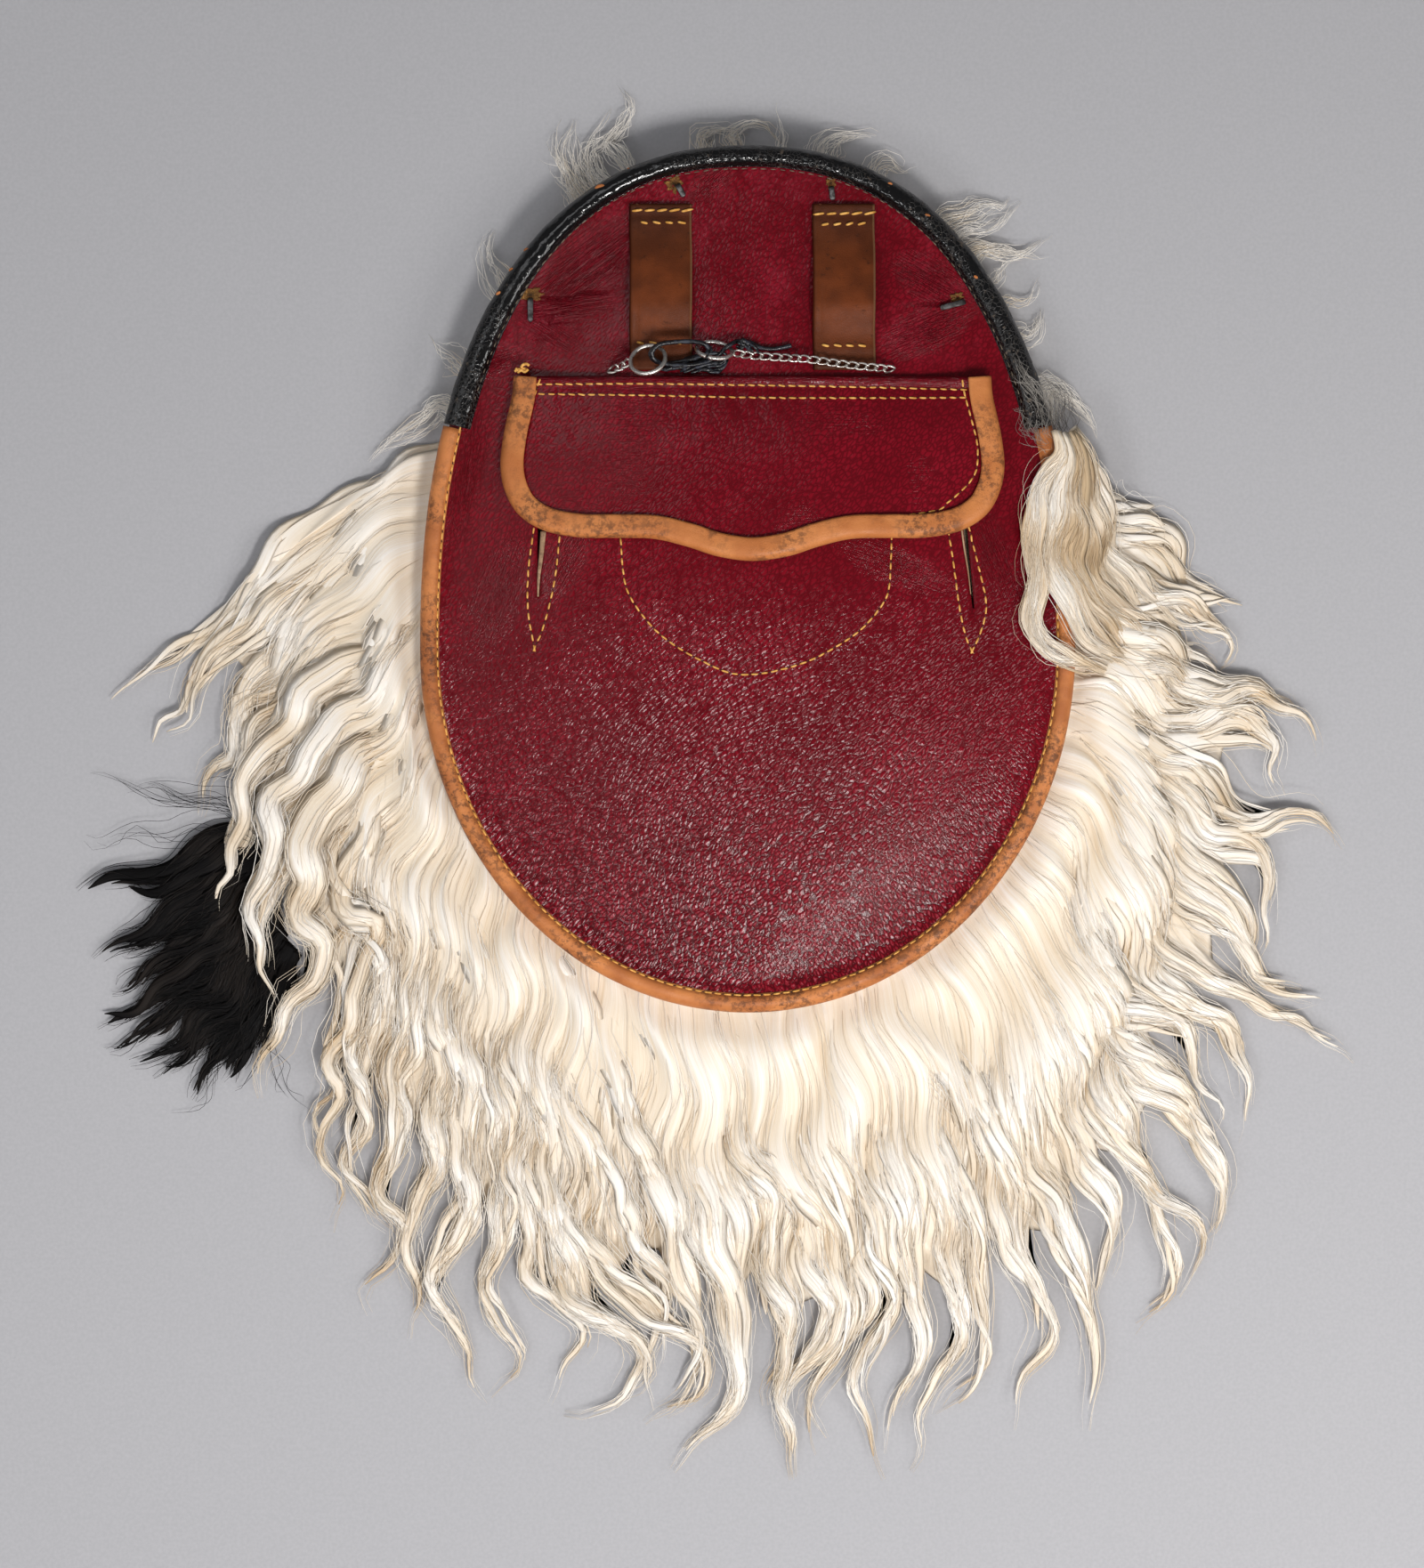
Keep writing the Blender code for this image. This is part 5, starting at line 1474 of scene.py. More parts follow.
# %% The flows
WHITE_FLOWS = (  # x, y, x, y ... in pixels, from root to tip, anticlockwise from the upper left
    (497, 500, 465, 512, 430, 535, 391, 548, 342, 583, 289, 634, 246, 690, 196, 732, 146, 762, 100,
     798),
    (485, 560, 422, 573, 382, 599, 362, 626, 322, 666, 279, 692, 239, 722, 222, 748, 207, 801, 173,
     810,
     150, 851),
    (483, 600, 430, 622, 389, 655, 355, 690, 306, 739, 276, 775, 274, 805, 258, 842, 233, 860, 226,
     918),
    (480, 650, 441, 705, 395, 740, 345, 775, 322, 805, 306, 838, 276, 868, 266, 904, 262, 975, 240,
     998,
     235, 1047),
    (480, 690, 450, 740, 400, 790, 360, 830, 335, 862, 310, 900, 302, 957, 288, 1008, 284, 1075,
     306, 1110,
     316, 1142),
    (482, 740, 455, 800, 410, 850, 370, 890, 347, 938, 341, 983, 342, 1028, 360, 1059, 353, 1098,
     331, 1130,
     302, 1165, 290, 1236),
    (488, 790, 460, 860, 430, 905, 411, 940, 384, 983, 392, 1021, 418, 1045, 411, 1085, 393, 1130,
     372, 1203,
     377, 1235, 360, 1275, 376, 1346, 375, 1388),
    (497, 840, 470, 910, 440, 960, 425, 1010, 440, 1050, 432, 1100, 410, 1150, 400, 1200, 405, 1250,
     390, 1300, 400, 1340, 443, 1390),
    (505, 870, 490, 940, 470, 1000, 465, 1050, 470, 1100, 450, 1160, 440, 1210, 450, 1250, 430,
     1300,
     432, 1350, 451, 1385, 415, 1450, 414, 1480),
    (520, 900, 510, 970, 500, 1040, 500, 1100, 490, 1160, 495, 1210, 490, 1260, 480, 1320, 455,
     1409,
     457, 1440, 473, 1470, 460, 1509),
    (545, 950, 535, 1020, 535, 1080, 525, 1150, 530, 1210, 520, 1270, 530, 1320, 520, 1370, 486,
     1450,
     505, 1493, 531, 1539, 547, 1592),
    (565, 975, 560, 1050, 570, 1110, 560, 1170, 565, 1230, 560, 1290, 570, 1340, 555, 1390, 545,
     1440,
     557, 1482, 577, 1525, 556, 1577),
    (590, 1005, 590, 1070, 600, 1130, 590, 1190, 590, 1250, 585, 1310, 590, 1360, 596, 1430, 623,
     1463,
     646, 1493, 642, 1528, 620, 1582),
    (620, 1035, 625, 1100, 620, 1160, 610, 1220, 612, 1270, 620, 1320, 622, 1370, 626, 1420, 650,
     1463,
     684, 1493, 713, 1515, 722, 1545, 700, 1576, 665, 1589, 635, 1585),
    (650, 1060, 660, 1120, 650, 1180, 645, 1240, 660, 1290, 665, 1340, 660, 1382, 675, 1417, 700,
     1451,
     738, 1478, 772, 1505, 791, 1530, 787, 1562, 761, 1589, 723, 1602),
    (690, 1085, 690, 1150, 700, 1200, 700, 1260, 710, 1310, 715, 1360, 720, 1410, 745, 1450, 742,
     1490,
     730, 1539, 727, 1588),
    (730, 1105, 735, 1160, 745, 1220, 735, 1280, 745, 1330, 750, 1380, 760, 1430, 785, 1480, 790,
     1520,
     764, 1547, 736, 1580),
    (770, 1118, 780, 1180, 790, 1240, 785, 1300, 800, 1350, 799, 1405, 818, 1450, 834, 1493, 833,
     1539,
     815, 1589, 780, 1627, 758, 1659),
    (805, 1128, 820, 1190, 835, 1250, 850, 1300, 872, 1335, 864, 1379, 866, 1417, 876, 1463, 876,
     1532,
     864, 1584),
    (835, 1132, 850, 1180, 845, 1240, 848, 1297, 864, 1357, 866, 1416, 880, 1460, 882, 1520, 883,
     1570,
     889, 1664),
    (870, 1132, 875, 1190, 885, 1250, 890, 1300, 905, 1350, 935, 1400, 945, 1450, 946, 1480, 907,
     1535,
     880, 1582, 883, 1634, 889, 1668),
    (900, 1125, 905, 1180, 925, 1240, 930, 1300, 945, 1350, 960, 1410, 965, 1460, 940, 1515, 912,
     1574,
     919, 1638),
    (930, 1115, 940, 1180, 958, 1240, 959, 1301, 986, 1357, 988, 1416, 1004, 1465, 978, 1527, 960,
     1566,
     972, 1614, 998, 1665),
    (960, 1105, 975, 1160, 995, 1220, 1010, 1280, 1018, 1340, 1014, 1400, 1030, 1450, 1038, 1495,
     1014, 1566,
     996, 1638),
    (990, 1090, 1010, 1150, 1035, 1210, 1045, 1270, 1060, 1330, 1070, 1390, 1082, 1450, 1073, 1515,
     1046, 1574, 1022, 1657),
    (1020, 1072, 1045, 1130, 1070, 1190, 1080, 1250, 1092, 1310, 1095, 1370, 1095, 1420, 1110, 1475,
     1108, 1527, 1077, 1574, 1057, 1598),
    (1045, 1050, 1080, 1110, 1105, 1170, 1110, 1230, 1120, 1290, 1140, 1350, 1148, 1410, 1163, 1450,
     1180, 1500, 1156, 1556, 1137, 1610),
    (1070, 1030, 1105, 1090, 1140, 1150, 1150, 1210, 1145, 1260, 1160, 1310, 1195, 1345, 1204, 1388,
     1216, 1456, 1231, 1499, 1237, 1554, 1220, 1610),
    (1095, 1005, 1130, 1070, 1175, 1130, 1190, 1190, 1195, 1240, 1215, 1285, 1240, 1330, 1247, 1380,
     1239, 1436, 1231, 1478),
    (1115, 980, 1160, 1050, 1205, 1110, 1220, 1170, 1235, 1230, 1258, 1280, 1290, 1330, 1310, 1370,
     1318, 1420, 1307, 1460, 1279, 1503),
    (1130, 960, 1180, 1020, 1215, 1070, 1245, 1120, 1255, 1180, 1258, 1246, 1267, 1300, 1303, 1337,
     1338, 1373, 1353, 1412, 1331, 1463),
    (1145, 930, 1190, 980, 1230, 1040, 1240, 1090, 1264, 1160, 1291, 1203, 1330, 1235, 1362, 1278,
     1374, 1325, 1370, 1373, 1358, 1408),
    (1155, 900, 1200, 940, 1217, 1000, 1225, 1060, 1245, 1110, 1290, 1138, 1325, 1150, 1337, 1176,
     1356, 1217, 1372, 1247, 1361, 1279),
    (1165, 870, 1215, 900, 1255, 950, 1280, 1000, 1295, 1060, 1302, 1100, 1335, 1138, 1380, 1159,
     1403, 1197, 1400, 1247, 1394, 1286),
    (1172, 840, 1230, 870, 1270, 920, 1299, 1003, 1303, 1044, 1330, 1075, 1379, 1113, 1425, 1135,
     1464, 1142, 1488, 1163, 1521, 1200),
    (1175, 810, 1225, 830, 1265, 860, 1288, 905, 1320, 960, 1364, 1003, 1388, 1030, 1399, 1065,
     1417, 1103, 1467, 1112, 1490, 1123, 1492, 1144),
    (1178, 790, 1225, 790, 1262, 820, 1300, 850, 1341, 898, 1366, 941, 1420, 955, 1431, 997, 1424,
     1041,
     1411, 1085),
    (1180, 770, 1230, 760, 1260, 780, 1299, 835, 1335, 860, 1365, 900, 1415, 924, 1452, 918, 1481,
     918,
     1517, 950),
    (1180, 745, 1225, 745, 1257, 755, 1281, 796, 1320, 810, 1375, 799, 1417, 812, 1439, 835, 1428,
     866,
     1438, 898),
    (1182, 720, 1240, 707, 1279, 717, 1318, 739, 1343, 771, 1375, 787, 1423, 780, 1458, 796, 1477,
     822,
     1480, 850),
    (1182, 690, 1230, 675, 1257, 691, 1299, 700, 1337, 723, 1358, 745, 1369, 770),
    (1182, 650, 1225, 640, 1260, 650, 1292, 665, 1330, 680, 1375, 700, 1385, 725, 1369, 752),
    (1182, 600, 1220, 600, 1248, 605, 1290, 620, 1327, 650, 1345, 670, 1391, 680, 1407, 690),
    (1180, 540, 1205, 545, 1230, 570, 1248, 585, 1273, 597, 1311, 602, 1327, 630, 1350, 653, 1391,
     672),
    (1178, 495, 1200, 510, 1225, 535, 1244, 560, 1273, 573, 1308, 573),
)
FLOW_STATIONS = 97


def flow_lines(flows):
    """Each flow's pixels, as a smooth line of evenly spaced points in metres from the body."""
    return np.array([traced(flow, FLOW_STATIONS) for flow in flows])


white_lines = flow_lines(WHITE_FLOWS)
print("flows:", len(white_lines), "longest in mm:",
      round(float(np.linalg.norm(np.diff(white_lines, axis=1), axis=2).sum(axis=1).max() / MM)))

# %% [markdown]
# ## How high the hair lies
# Under the body the hair is pressed flat. It springs up just outside the edge, then sinks to the
# paper towards its tips. Its waves are a second thing that all depths share: neighbouring hairs
# bend together, so one slow phase runs round the body, and a lock only strays a little from it.

# %% Heights and waves of hair
PRESSED, SPRUNG = 7.2 * MM, 9.8 * MM  # the hair's middle height under the edge and outside it
SPRING = 12.0 * MM  # how far outside the edge it has sprung up
PAPER_GAP = 0.35 * MM
WAVE_LENGTH = 44.0 * MM
SHORTEST_WAVE = 20.0 * MM
WAVES_GROW = 18.0 * MM  # how far from the root a wave has its full height
GATHER = 0.80  # how far hair between two flows is drawn to the nearer one


def hair_height(flat, share):
    """PRESSED under the edge and SPRUNG outside it, times (1 - share of the length) ^ 0.85."""
    free = smooth_step(outside(flat[..., 0], flat[..., 1]) / SPRING)
    full = PRESSED + (SPRUNG - PRESSED) * free
    return 1.2 * MM + full * (1.0 - np.clip(share, 0.0, 1.0)) ** 0.85


def wave_phase(at):
    """A slow random walk round the body, in radians."""
    return 4.5 * smooth_noise(at, 0.0 * at, 3.3, 12) + 0.9 * smooth_noise(at, 0.0 * at, 0.9, 13)


def wave_size(at):
    """WAVE_LENGTH, up to a third longer or shorter from place to place round the body."""
    return WAVE_LENGTH * (1.0 + 0.33 * smooth_noise(at, 0.0 * at, 2.7, 1))[:, None]


def gathered(at, share):
    """Places in the row of flows, drawn towards the nearest flow over the outer half."""
    nearest = np.round(at)
    return at + (nearest - at) * GATHER * smooth_step((share - 0.42) / 0.45)


def at_share(lines, at, share):
    """Points at shares (n, stations) of the lines at fractional places at (n) in the row: a mix
    of the four nearest points of the two nearest flows."""
    at = np.clip(gathered(at[:, None], share), 0.0, len(lines) - 1.001)
    row = at.astype(int)
    along = np.clip(share, 0.0, 1.0) * (lines.shape[1] - 1)
    station = np.minimum(along.astype(int), lines.shape[1] - 2)
    part, ahead = (at - row)[..., None], (along - station)[..., None]
    here = lines[row, station] * (1 - ahead) + lines[row, station + 1] * ahead
    next_row = lines[row + 1, station] * (1 - ahead) + lines[row + 1, station + 1] * ahead
    return here * (1 - part) + next_row * part


def depth(lines, at):
    """How deep the hair lies round the body: 1, but only about a third at both ends of the row."""
    from_end = np.minimum(at, len(lines) - 1.0 - at)
    return (0.36 + 0.64 * smooth_step(from_end / 5.0))[:, None]


def waved(flat, share, size, phase, wave_length):
    """The lines with a sideways wave added; also the wave and each point's run along its line."""
    travel = unit(np.gradient(flat, axis=1))
    left = np.stack([-travel[..., 1], travel[..., 0]], axis=-1)
    step = np.linalg.norm(np.diff(flat, axis=1), axis=2)
    run = np.concatenate([np.zeros((len(flat), 1)), np.cumsum(step, axis=1)], axis=1)
    run = run + share[:, :1] * run[:, -1:] / np.maximum(share[:, -1:] - share[:, :1], 0.01)
    turn = 2 * np.pi * run / wave_length + phase[:, None]
    grow = smooth_step(run / WAVES_GROW)
    return flat + left * (size * np.sin(turn) * grow)[..., None], np.cos(turn) * grow, run


print("sprung hair is", round(float(hair_height(np.array([0.0, -0.2]), 0.0)) / MM, 1), "mm high")

# %% [markdown]
# ## White and black hair
# A hair is clear and hardly coloured, so hair shines where it turns square to the light and goes
# golden in its folds. The tone kept on the mesh paints some of this: painted highlights on crests
# and ridges, painted shade in folds, on the sides of locks and near the body. Each point of a lock
# keeps its place in the lock: across, along and up.
# Noise that is fine across and long along that place draws the separate hairs.


# %% Hair finishes
def by_tone(f, tone, folds, middle, crest):
    """Three colours in turn: folds below a tone of 0.25, crest above one of 0.7, so that low tones
    also paint shade and high ones a highlight.
    """
    colour = f.mix(f.range(tone, 0.0, 0.5), folds, middle)
    return f.mix(f.range(tone, 0.45, 0.95), colour, crest)


def lock_finish(name, tones, shine, rough):
    """Streaks = noise at the lock's own coordinates; colour by streak + tone."""
    f = Finish(name, specular_ior_level=shine)
    place = f.vector("lock_place")
    fine = f.noise(1.0, 4.0, f.stretch((2.6, 0.035, 2.6), 0.0, place), 0.7)
    broad = f.noise(1.0, 2.0, f.stretch((0.55, 0.02, 0.55), 0.0, place))
    streaks = f.plus(f.times(fine, 0.62), f.times(broad, 0.38))
    tone = f.plus(f.value("tone"), f.times(f.math("SUBTRACT", streaks, 0.5), 1.6))
    rough = f.range(streaks, 0.3, 0.7, rough + 0.1, rough - 0.06)
    return f.finish(by_tone(f, tone, *tones), rough, f.bump(streaks, 0.0002, 0.8))


def strand_finish(name, tones, shine, rough):
    """One strand has one tone, so its colour is read straight from the mesh."""
    f = Finish(name, specular_ior_level=shine, roughness=rough)
    return f.finish(by_tone(f, f.value("tone"), *tones))


# Each set of tones: the painted shade of folds, the middle colour, the painted highlight of crests.
WHITE_TONES = ((0.64, 0.470, 0.285), (0.84, 0.720, 0.565), (0.94, 0.885, 0.810))
BLACK_TONES = ((0.0018, 0.0016, 0.0016), (0.0045, 0.0040, 0.0042), (0.018, 0.014, 0.012))
white_lock = lock_finish("white_lock", WHITE_TONES, 0.5, 0.38)
black_lock = lock_finish("black_lock", BLACK_TONES, 0.06, 0.46)
white_strand = strand_finish("white_strand", WHITE_TONES, 0.5, 0.34)
black_strand = strand_finish("black_strand", BLACK_TONES, 0.17, 0.42)

# %% [markdown]
# ## The mat
# Near the body the hair is one deep mass without gaps, combed into soft ridges. That is a sheet:
# its columns follow the flows, its height follows the ridges, and its outer edge runs out in
# tongues, one under each flow, so that the paper shows between the tips as it does on the real
# one. A plain pad of fur fills the room under the leather.

# %% Ridges of the mat
RIDGE_HEIGHT, SIDE_RIDGE_HEIGHT = 1.1 * MM, 0.6 * MM
CREST_HEIGHT = 1.8 * MM
FILL = 0.8 * MM  # how far the mat stands up between the locks
SWAY = 1.8 * MM


def ridge(at, share):
    """cos(pi x place) squared, bent by noise: 1 on a flow, 0 half way between two flows."""
    bent = at + 0.28 * smooth_noise(at * 2.0, share * 6.0, 1.0, 10)
    return np.cos(np.pi * bent) ** 2


def side_ridge(at, share):
    """The same with 2.3 narrow ridges to each flow, which begin a little way out."""
    bent = 2.3 * at + 0.5 * smooth_noise(at * 3.0, share * 8.0, 1.0, 11)
    return np.cos(np.pi * bent) ** 2 * smooth_step((share - 0.05) / 0.35)


def mat_top(lines, at, share):
    """Points on the mat's upper face, and its tone: painted highlights on ridges and on crests of
    waves.
    """
    phase = wave_phase(at)
    flat, crest, run = waved(at_share(lines, at, share), share, SWAY, phase, wave_size(at))
    wide, narrow = ridge(at[:, None], share), side_ridge(at[:, None], share)
    thin = 1.0 - 0.6 * share
    ridges = RIDGE_HEIGHT * (wide - 0.6) + SIDE_RIDGE_HEIGHT * (narrow - 0.6)
    own = thin * (FILL + ridges + CREST_HEIGHT * crest)
    height = depth(lines, at) * hair_height(flat, share) + own
    # Painted highlight: the tone rises on ridges and on crests of waves.
    tone = 0.46 + 0.20 * wide + 0.10 * narrow + 0.14 * crest
    return np.dstack([flat, np.maximum(height, 2 * PAPER_GAP)]), tone, run


print("tone half way out on the first flow:",
      round(float(mat_top(white_lines, np.zeros(1), np.linspace(0, 1, 3)[None])[1][0, 1]), 2))


# %% Make the mat
MAT_SHORT = 0.60  # how much of its flows' length the mat covers between two flows
MAT_TONGUE = 0.20  # and how much more on a flow
MAT_COLUMNS, MAT_STATIONS, UNDER_STATIONS = 400, 58, 7


def smooth_above(piece):
    """Smooths only faces that look up: where hair doubles back on itself some look down, and
    smoothing would turn the ones beside them black."""
    facing = np.empty(3 * len(piece.data.polygons), np.float32)
    piece.data.polygons.foreach_get("normal", facing)
    piece.data.polygons.foreach_set("use_smooth", facing[2::3] > 0.1)


def hair_mat(lines):
    """Each section goes out along the upper face to its tongue's end and back along the paper."""
    at = np.linspace(0.0, len(lines) - 1.0, MAT_COLUMNS)
    reach = MAT_SHORT + MAT_TONGUE * np.abs(np.cos(np.pi * at)) ** 1.5
    t = np.linspace(0.0, 1.0, MAT_STATIONS)
    share = reach[:, None] * t
    top, tone, run = mat_top(lines, at, share)
    end = smooth_step((1.0 - t) / 0.10)
    top[..., 2] = 1.5 * PAPER_GAP + (top[..., 2] - 1.5 * PAPER_GAP) * end
    picked = np.linspace(MAT_STATIONS - 2, 0, UNDER_STATIONS).astype(int)
    under = top[:, picked].copy()
    under[..., 2] = PAPER_GAP
    sections = np.concatenate([top, under], axis=1)
    # Painted shade: the underside keeps half the tone.
    tones = np.concatenate([tone, tone[:, picked] * 0.5], axis=1)
    piece = bar("hair_mat", sections, white_lock, ["white_hair"],
                {"tone": tones})
    smooth_above(piece)
    step = 16.0 * len(lines) / MAT_COLUMNS
    across = np.cumsum(np.concatenate([[0.0], np.full(MAT_COLUMNS - 1, step)]))
    place = np.stack(np.broadcast_arrays(across[:, None], run / MM, 0.0), axis=-1)
    place = np.concatenate([place, place[:, picked]], axis=1).reshape(-1, 3)
    keep_place(piece, "lock_place", np.concatenate([place, place[[0, -1]]]))


hair_mat(white_lines)


# %% The pad of fur
def fur_pad():
    """Rings from the middle of its top, over a bulging side and back to the middle underneath."""
    turns = once_round(240)
    inset = np.array([100, 60, 30, 12, 7.0, 3.5, 2.0, 2.0, 3.0, 6.0, 20, 60, 100]) * MM
    heights = np.array([11.9, 11.9, 11.9, 11.7, 10.8, 9.0, 6.8, 4.4, 2.2, 0.8, 0.6, 0.6, 0.6]) * MM
    sections = np.empty((len(inset), len(turns), 3))
    arc = np.arange(len(turns)) * 3.4
    for k, (inward, height) in enumerate(zip(inset, heights)):
        ruffle = 1.6 * MM * smooth_noise(arc, 0.0 * arc + 3 * k, 5.0, 14) * (inward < 20 * MM)
        sections[k, :, :2] = body_edge(turns, inward + ruffle)
        sections[k, :, 2] = height
    tones = np.full(sections.shape[:2], 0.35)
    piece = bar("fur_pad", sections, white_lock, ["white_hair"],
                {"tone": tones})
    down = 4.0 * np.arange(len(inset))
    place = np.stack(np.broadcast_arrays(arc[None], down[:, None], 0.0), axis=-1).reshape(-1, 3)
    keep_place(piece, "lock_place", np.concatenate([place, place[[0, -1]]]))


fur_pad()

# %% [markdown]
# ## Locks
# A lock is a flattened tube that comes up out of the mat, narrows slowly, and runs out in a point.
# Four kinds lie on each other: one on every flow that was read off the photograph, then broad,
# narrow and thin ones, each kind a little higher. All are flat and share the mat's waves, because
# a lock with waves of its own dips under its neighbours and looks like a feather. Where the flows
# lie far apart, the locks are wider. A fixed seed for each kind keeps every run the same.

# %% Grow the locks
LOCK_STATIONS = 104
BODY_END = 0.95  # a lock's solid part stops here, and only loose hairs go on to its tip
FLATNESS = 0.14  # half height over half width
SUNK = 2.2 * MM  # how deep in the mat the locks begin
CURL_HEIGHT = 0.3 * MM
# The locks near the edge get painted shade, out to the distance SHADED.
SHADED = 22.0 * MM  # how far outside the edge the locks are still darker


def room(lines, at):
    """How far apart the flows lie at two thirds of their length, over the mean of all flows."""
    middle = lines[:, 2 * FLOW_STATIONS // 3]
    apart = np.linalg.norm(np.diff(middle, axis=0), axis=1)
    apart = np.clip(apart / apart.mean(), 0.65, 1.25)
    return np.interp(at, np.arange(len(apart)) + 0.5, apart)


class Locks:
    """Many locks as arrays (locks, stations): middle lines, half widths, half heights, the
    spread of the strands on them, tones and runs. blunt says how late a lock narrows."""

    def __init__(self, lines, at, start, end, wide, lift, seed, sway=1.0 * MM, blunt=2.6):
        """Shares start to end of the lines at the places at; height = the hair's + lift - SUNK."""
        chance = np.random.default_rng(seed)
        count = len(at)
        t = np.linspace(0.0, 1.0, LOCK_STATIONS)
        share = start[:, None] + (end - start)[:, None] * t
        phase, size = wave_phase(at), wave_size(at)
        flat, crest, self.run = waved(at_share(lines, at, share), share, SWAY, phase, size)
        own = np.maximum(0.52 * size * chance.uniform(0.8, 1.25, (count, 1)), SHORTEST_WAVE)
        flat, curl, _ = waved(flat, share, sway, 2 * phase + chance.normal(0.0, 0.7, count), own)
        root = 0.6 + 0.4 * smooth_step(t / 0.28)
        slim = (1.0 - 0.42 * share) * room(lines, at)[:, None]
        ripple = chance.uniform(10, 22, (count, 1)) * t + chance.uniform(0, 6.3, (count, 1))
        pulse = 1.0 + 0.13 * np.sin(ripple)
        wide = wide[:, None] * root * slim * pulse
        self.wide = wide * (1.0 - np.clip(t / BODY_END, 0, 1) ** blunt) ** 0.85 + 0.16 * MM
        self.high = self.wide * FLATNESS
        self.spread = wide * (1.0 - 0.70 * smooth_step((t - 0.45) / 0.55))
        lift = lift[:, None] * smooth_step(share / 0.45) * (1.0 - 0.5 * share)
        height = depth(lines, at) * hair_height(flat, share) + lift
        height = height - SUNK * smooth_step((0.60 - share) / 0.45)
        height = height + CREST_HEIGHT * crest * (1.0 - 0.5 * share) + CURL_HEIGHT * curl
        self.middle = np.dstack([flat, np.maximum(height, self.high + PAPER_GAP)])
        base = chance.uniform(0.40, 0.78, (count, 1))
        # Painted shade near the body's edge, and painted highlights where the waves and curls
        # crest.
        near = smooth_step(1.0 - outside(flat[..., 0], flat[..., 1]) / SHADED)
        near = near * (0.5 + smooth_noise(at, 0.0 * at, 1.6, 9))[:, None].clip(0.0, 1.0)
        bend = 0.16 * crest + 0.12 * curl
        self.tone = base + bend - 0.22 * smooth_step((share - 0.8) / 0.2) - 0.20 * near
        self.start = chance.uniform(0.0, 90.0, (count, 3))

    def __add__(self, other):
        """Both lots, one after the other."""
        made = Locks.__new__(Locks)
        for key in self.__dict__:
            setattr(made, key, np.concatenate([getattr(self, key), getattr(other, key)]))
        return made


def scattered(lines, count, seed, start, end, wide, lift, **more):
    """count locks spread evenly round the row, each with its own random sizes in millimetres."""
    chance = np.random.default_rng(seed)
    at = (np.arange(count) + chance.uniform(0.1, 0.9, count)) / count * (len(lines) - 1)
    start, end = chance.uniform(*start, count), chance.uniform(*end, count)
    wide, lift = chance.uniform(*wide, count) / 2 * MM, chance.uniform(*lift, count) * MM
    return Locks(lines, at, start, end, wide, lift, seed + 1, **more)


def on_flows(lines, seed, wide, lift, raised):
    """One lock on every flow, over its whole length; raised says which lie how much higher."""
    chance = np.random.default_rng(seed)
    count = len(lines)
    wide, lift = chance.uniform(*wide, count) / 2 * MM, chance.uniform(*lift, count) * MM
    at = np.minimum(np.arange(count), count - 1.001)
    lift[list(raised)] += np.array(list(raised.values())) * MM
    return Locks(lines, at, np.zeros(count), np.ones(count), wide, lift, seed + 1, sway=0.9 * MM)


flow_locks = on_flows(white_lines, 11, (9.0, 13.0), (1.0, 2.0), {3: 4.5, 4: 4.5, 5: 4.0, 6: 2.5})
broad_locks = scattered(white_lines, 64, 21, (0.0, 0.01), (0.78, 0.97), (10.0, 15.0), (0.3, 1.4))
narrow_locks = scattered(white_lines, 80, 31, (0.0, 0.01), (0.70, 1.0), (5.0, 9.0), (0.8, 2.2))
thin_locks = scattered(white_lines, 66, 41, (0.0, 0.01), (0.60, 1.0), (3.0, 6.0), (1.4, 2.8))
white_locks = flow_locks + broad_locks + narrow_locks + thin_locks
print("locks:", len(white_locks.tone))

# %% Make the lock bodies
LOCK_SIDES = 6


def lock_bodies(name, locks, finish, stands_for=()):
    """Closed tubes up to BODY_END, a section at every second station. Points keep their place."""
    last = int(BODY_END * LOCK_STATIONS) + 1
    values = (locks.middle, locks.wide, locks.high, locks.run, locks.tone)
    middle, wide, high, run, tone = (value[:, :last:2] for value in values)
    count, stations = wide.shape
    points, quads, triangles = tubes(middle, wide, high, LOCK_SIDES)
    turns = once_round(LOCK_SIDES)
    full = locks.wide.max(axis=1)[:, None, None] / MM
    place = (full * np.cos(turns), run[..., None] / MM, full * np.sin(turns) * 0.5)
    place = np.stack(np.broadcast_arrays(*place), axis=-1) + locks.start[:, None, None]
    ends = place[:, [0, -1]].mean(axis=2)
    place = np.concatenate([place.reshape(count, -1, 3), ends], axis=1)
    tone = np.repeat(tone, LOCK_SIDES, axis=1).reshape(count, stations, -1)
    # Painted shade on the sides of each lock.
    shade = tone - 0.08 * np.abs(np.cos(turns)) ** 3
    tone = np.concatenate([shade.reshape(count, -1), tone[:, [0, -1], 0]], axis=1)
    piece = add_piece(name, points, quads, triangles, finish, stands_for,
                      {"tone": tone})
    keep_place(piece, "lock_place", place)
    smooth_above(piece)


lock_bodies("white_locks", white_locks, white_lock)

# %% [markdown]
# ## Strands
# A strand follows its lock for part of the way: it comes up out of the lock, lies on its upper
# side and goes back in, or runs out with the tip. Its place round the lock is random, and it
# wanders a little on its own. All strands are worked out together, as one array of three-sided
# tubes. Looser, thinner strands stand off the locks as stray hairs.

# %% Place the strands
def follow(locks, which, share):
    """Middle, frame, half sizes and tone of the chosen locks at shares of their length."""
    at = np.clip(share, 0.0, 1.0) * (LOCK_STATIONS - 1)
    before = np.minimum(at.astype(int), LOCK_STATIONS - 2)
    part = (at - before)[..., None]
    across, up = frames(locks.middle)
    rows = which[:, None]
    sizes = np.stack([locks.spread, locks.high, locks.tone], axis=-1)
    values = (locks.middle, across, up, sizes)
    return [value[rows, before] * (1 - part) + value[rows, before + 1] * part
            for value in values]


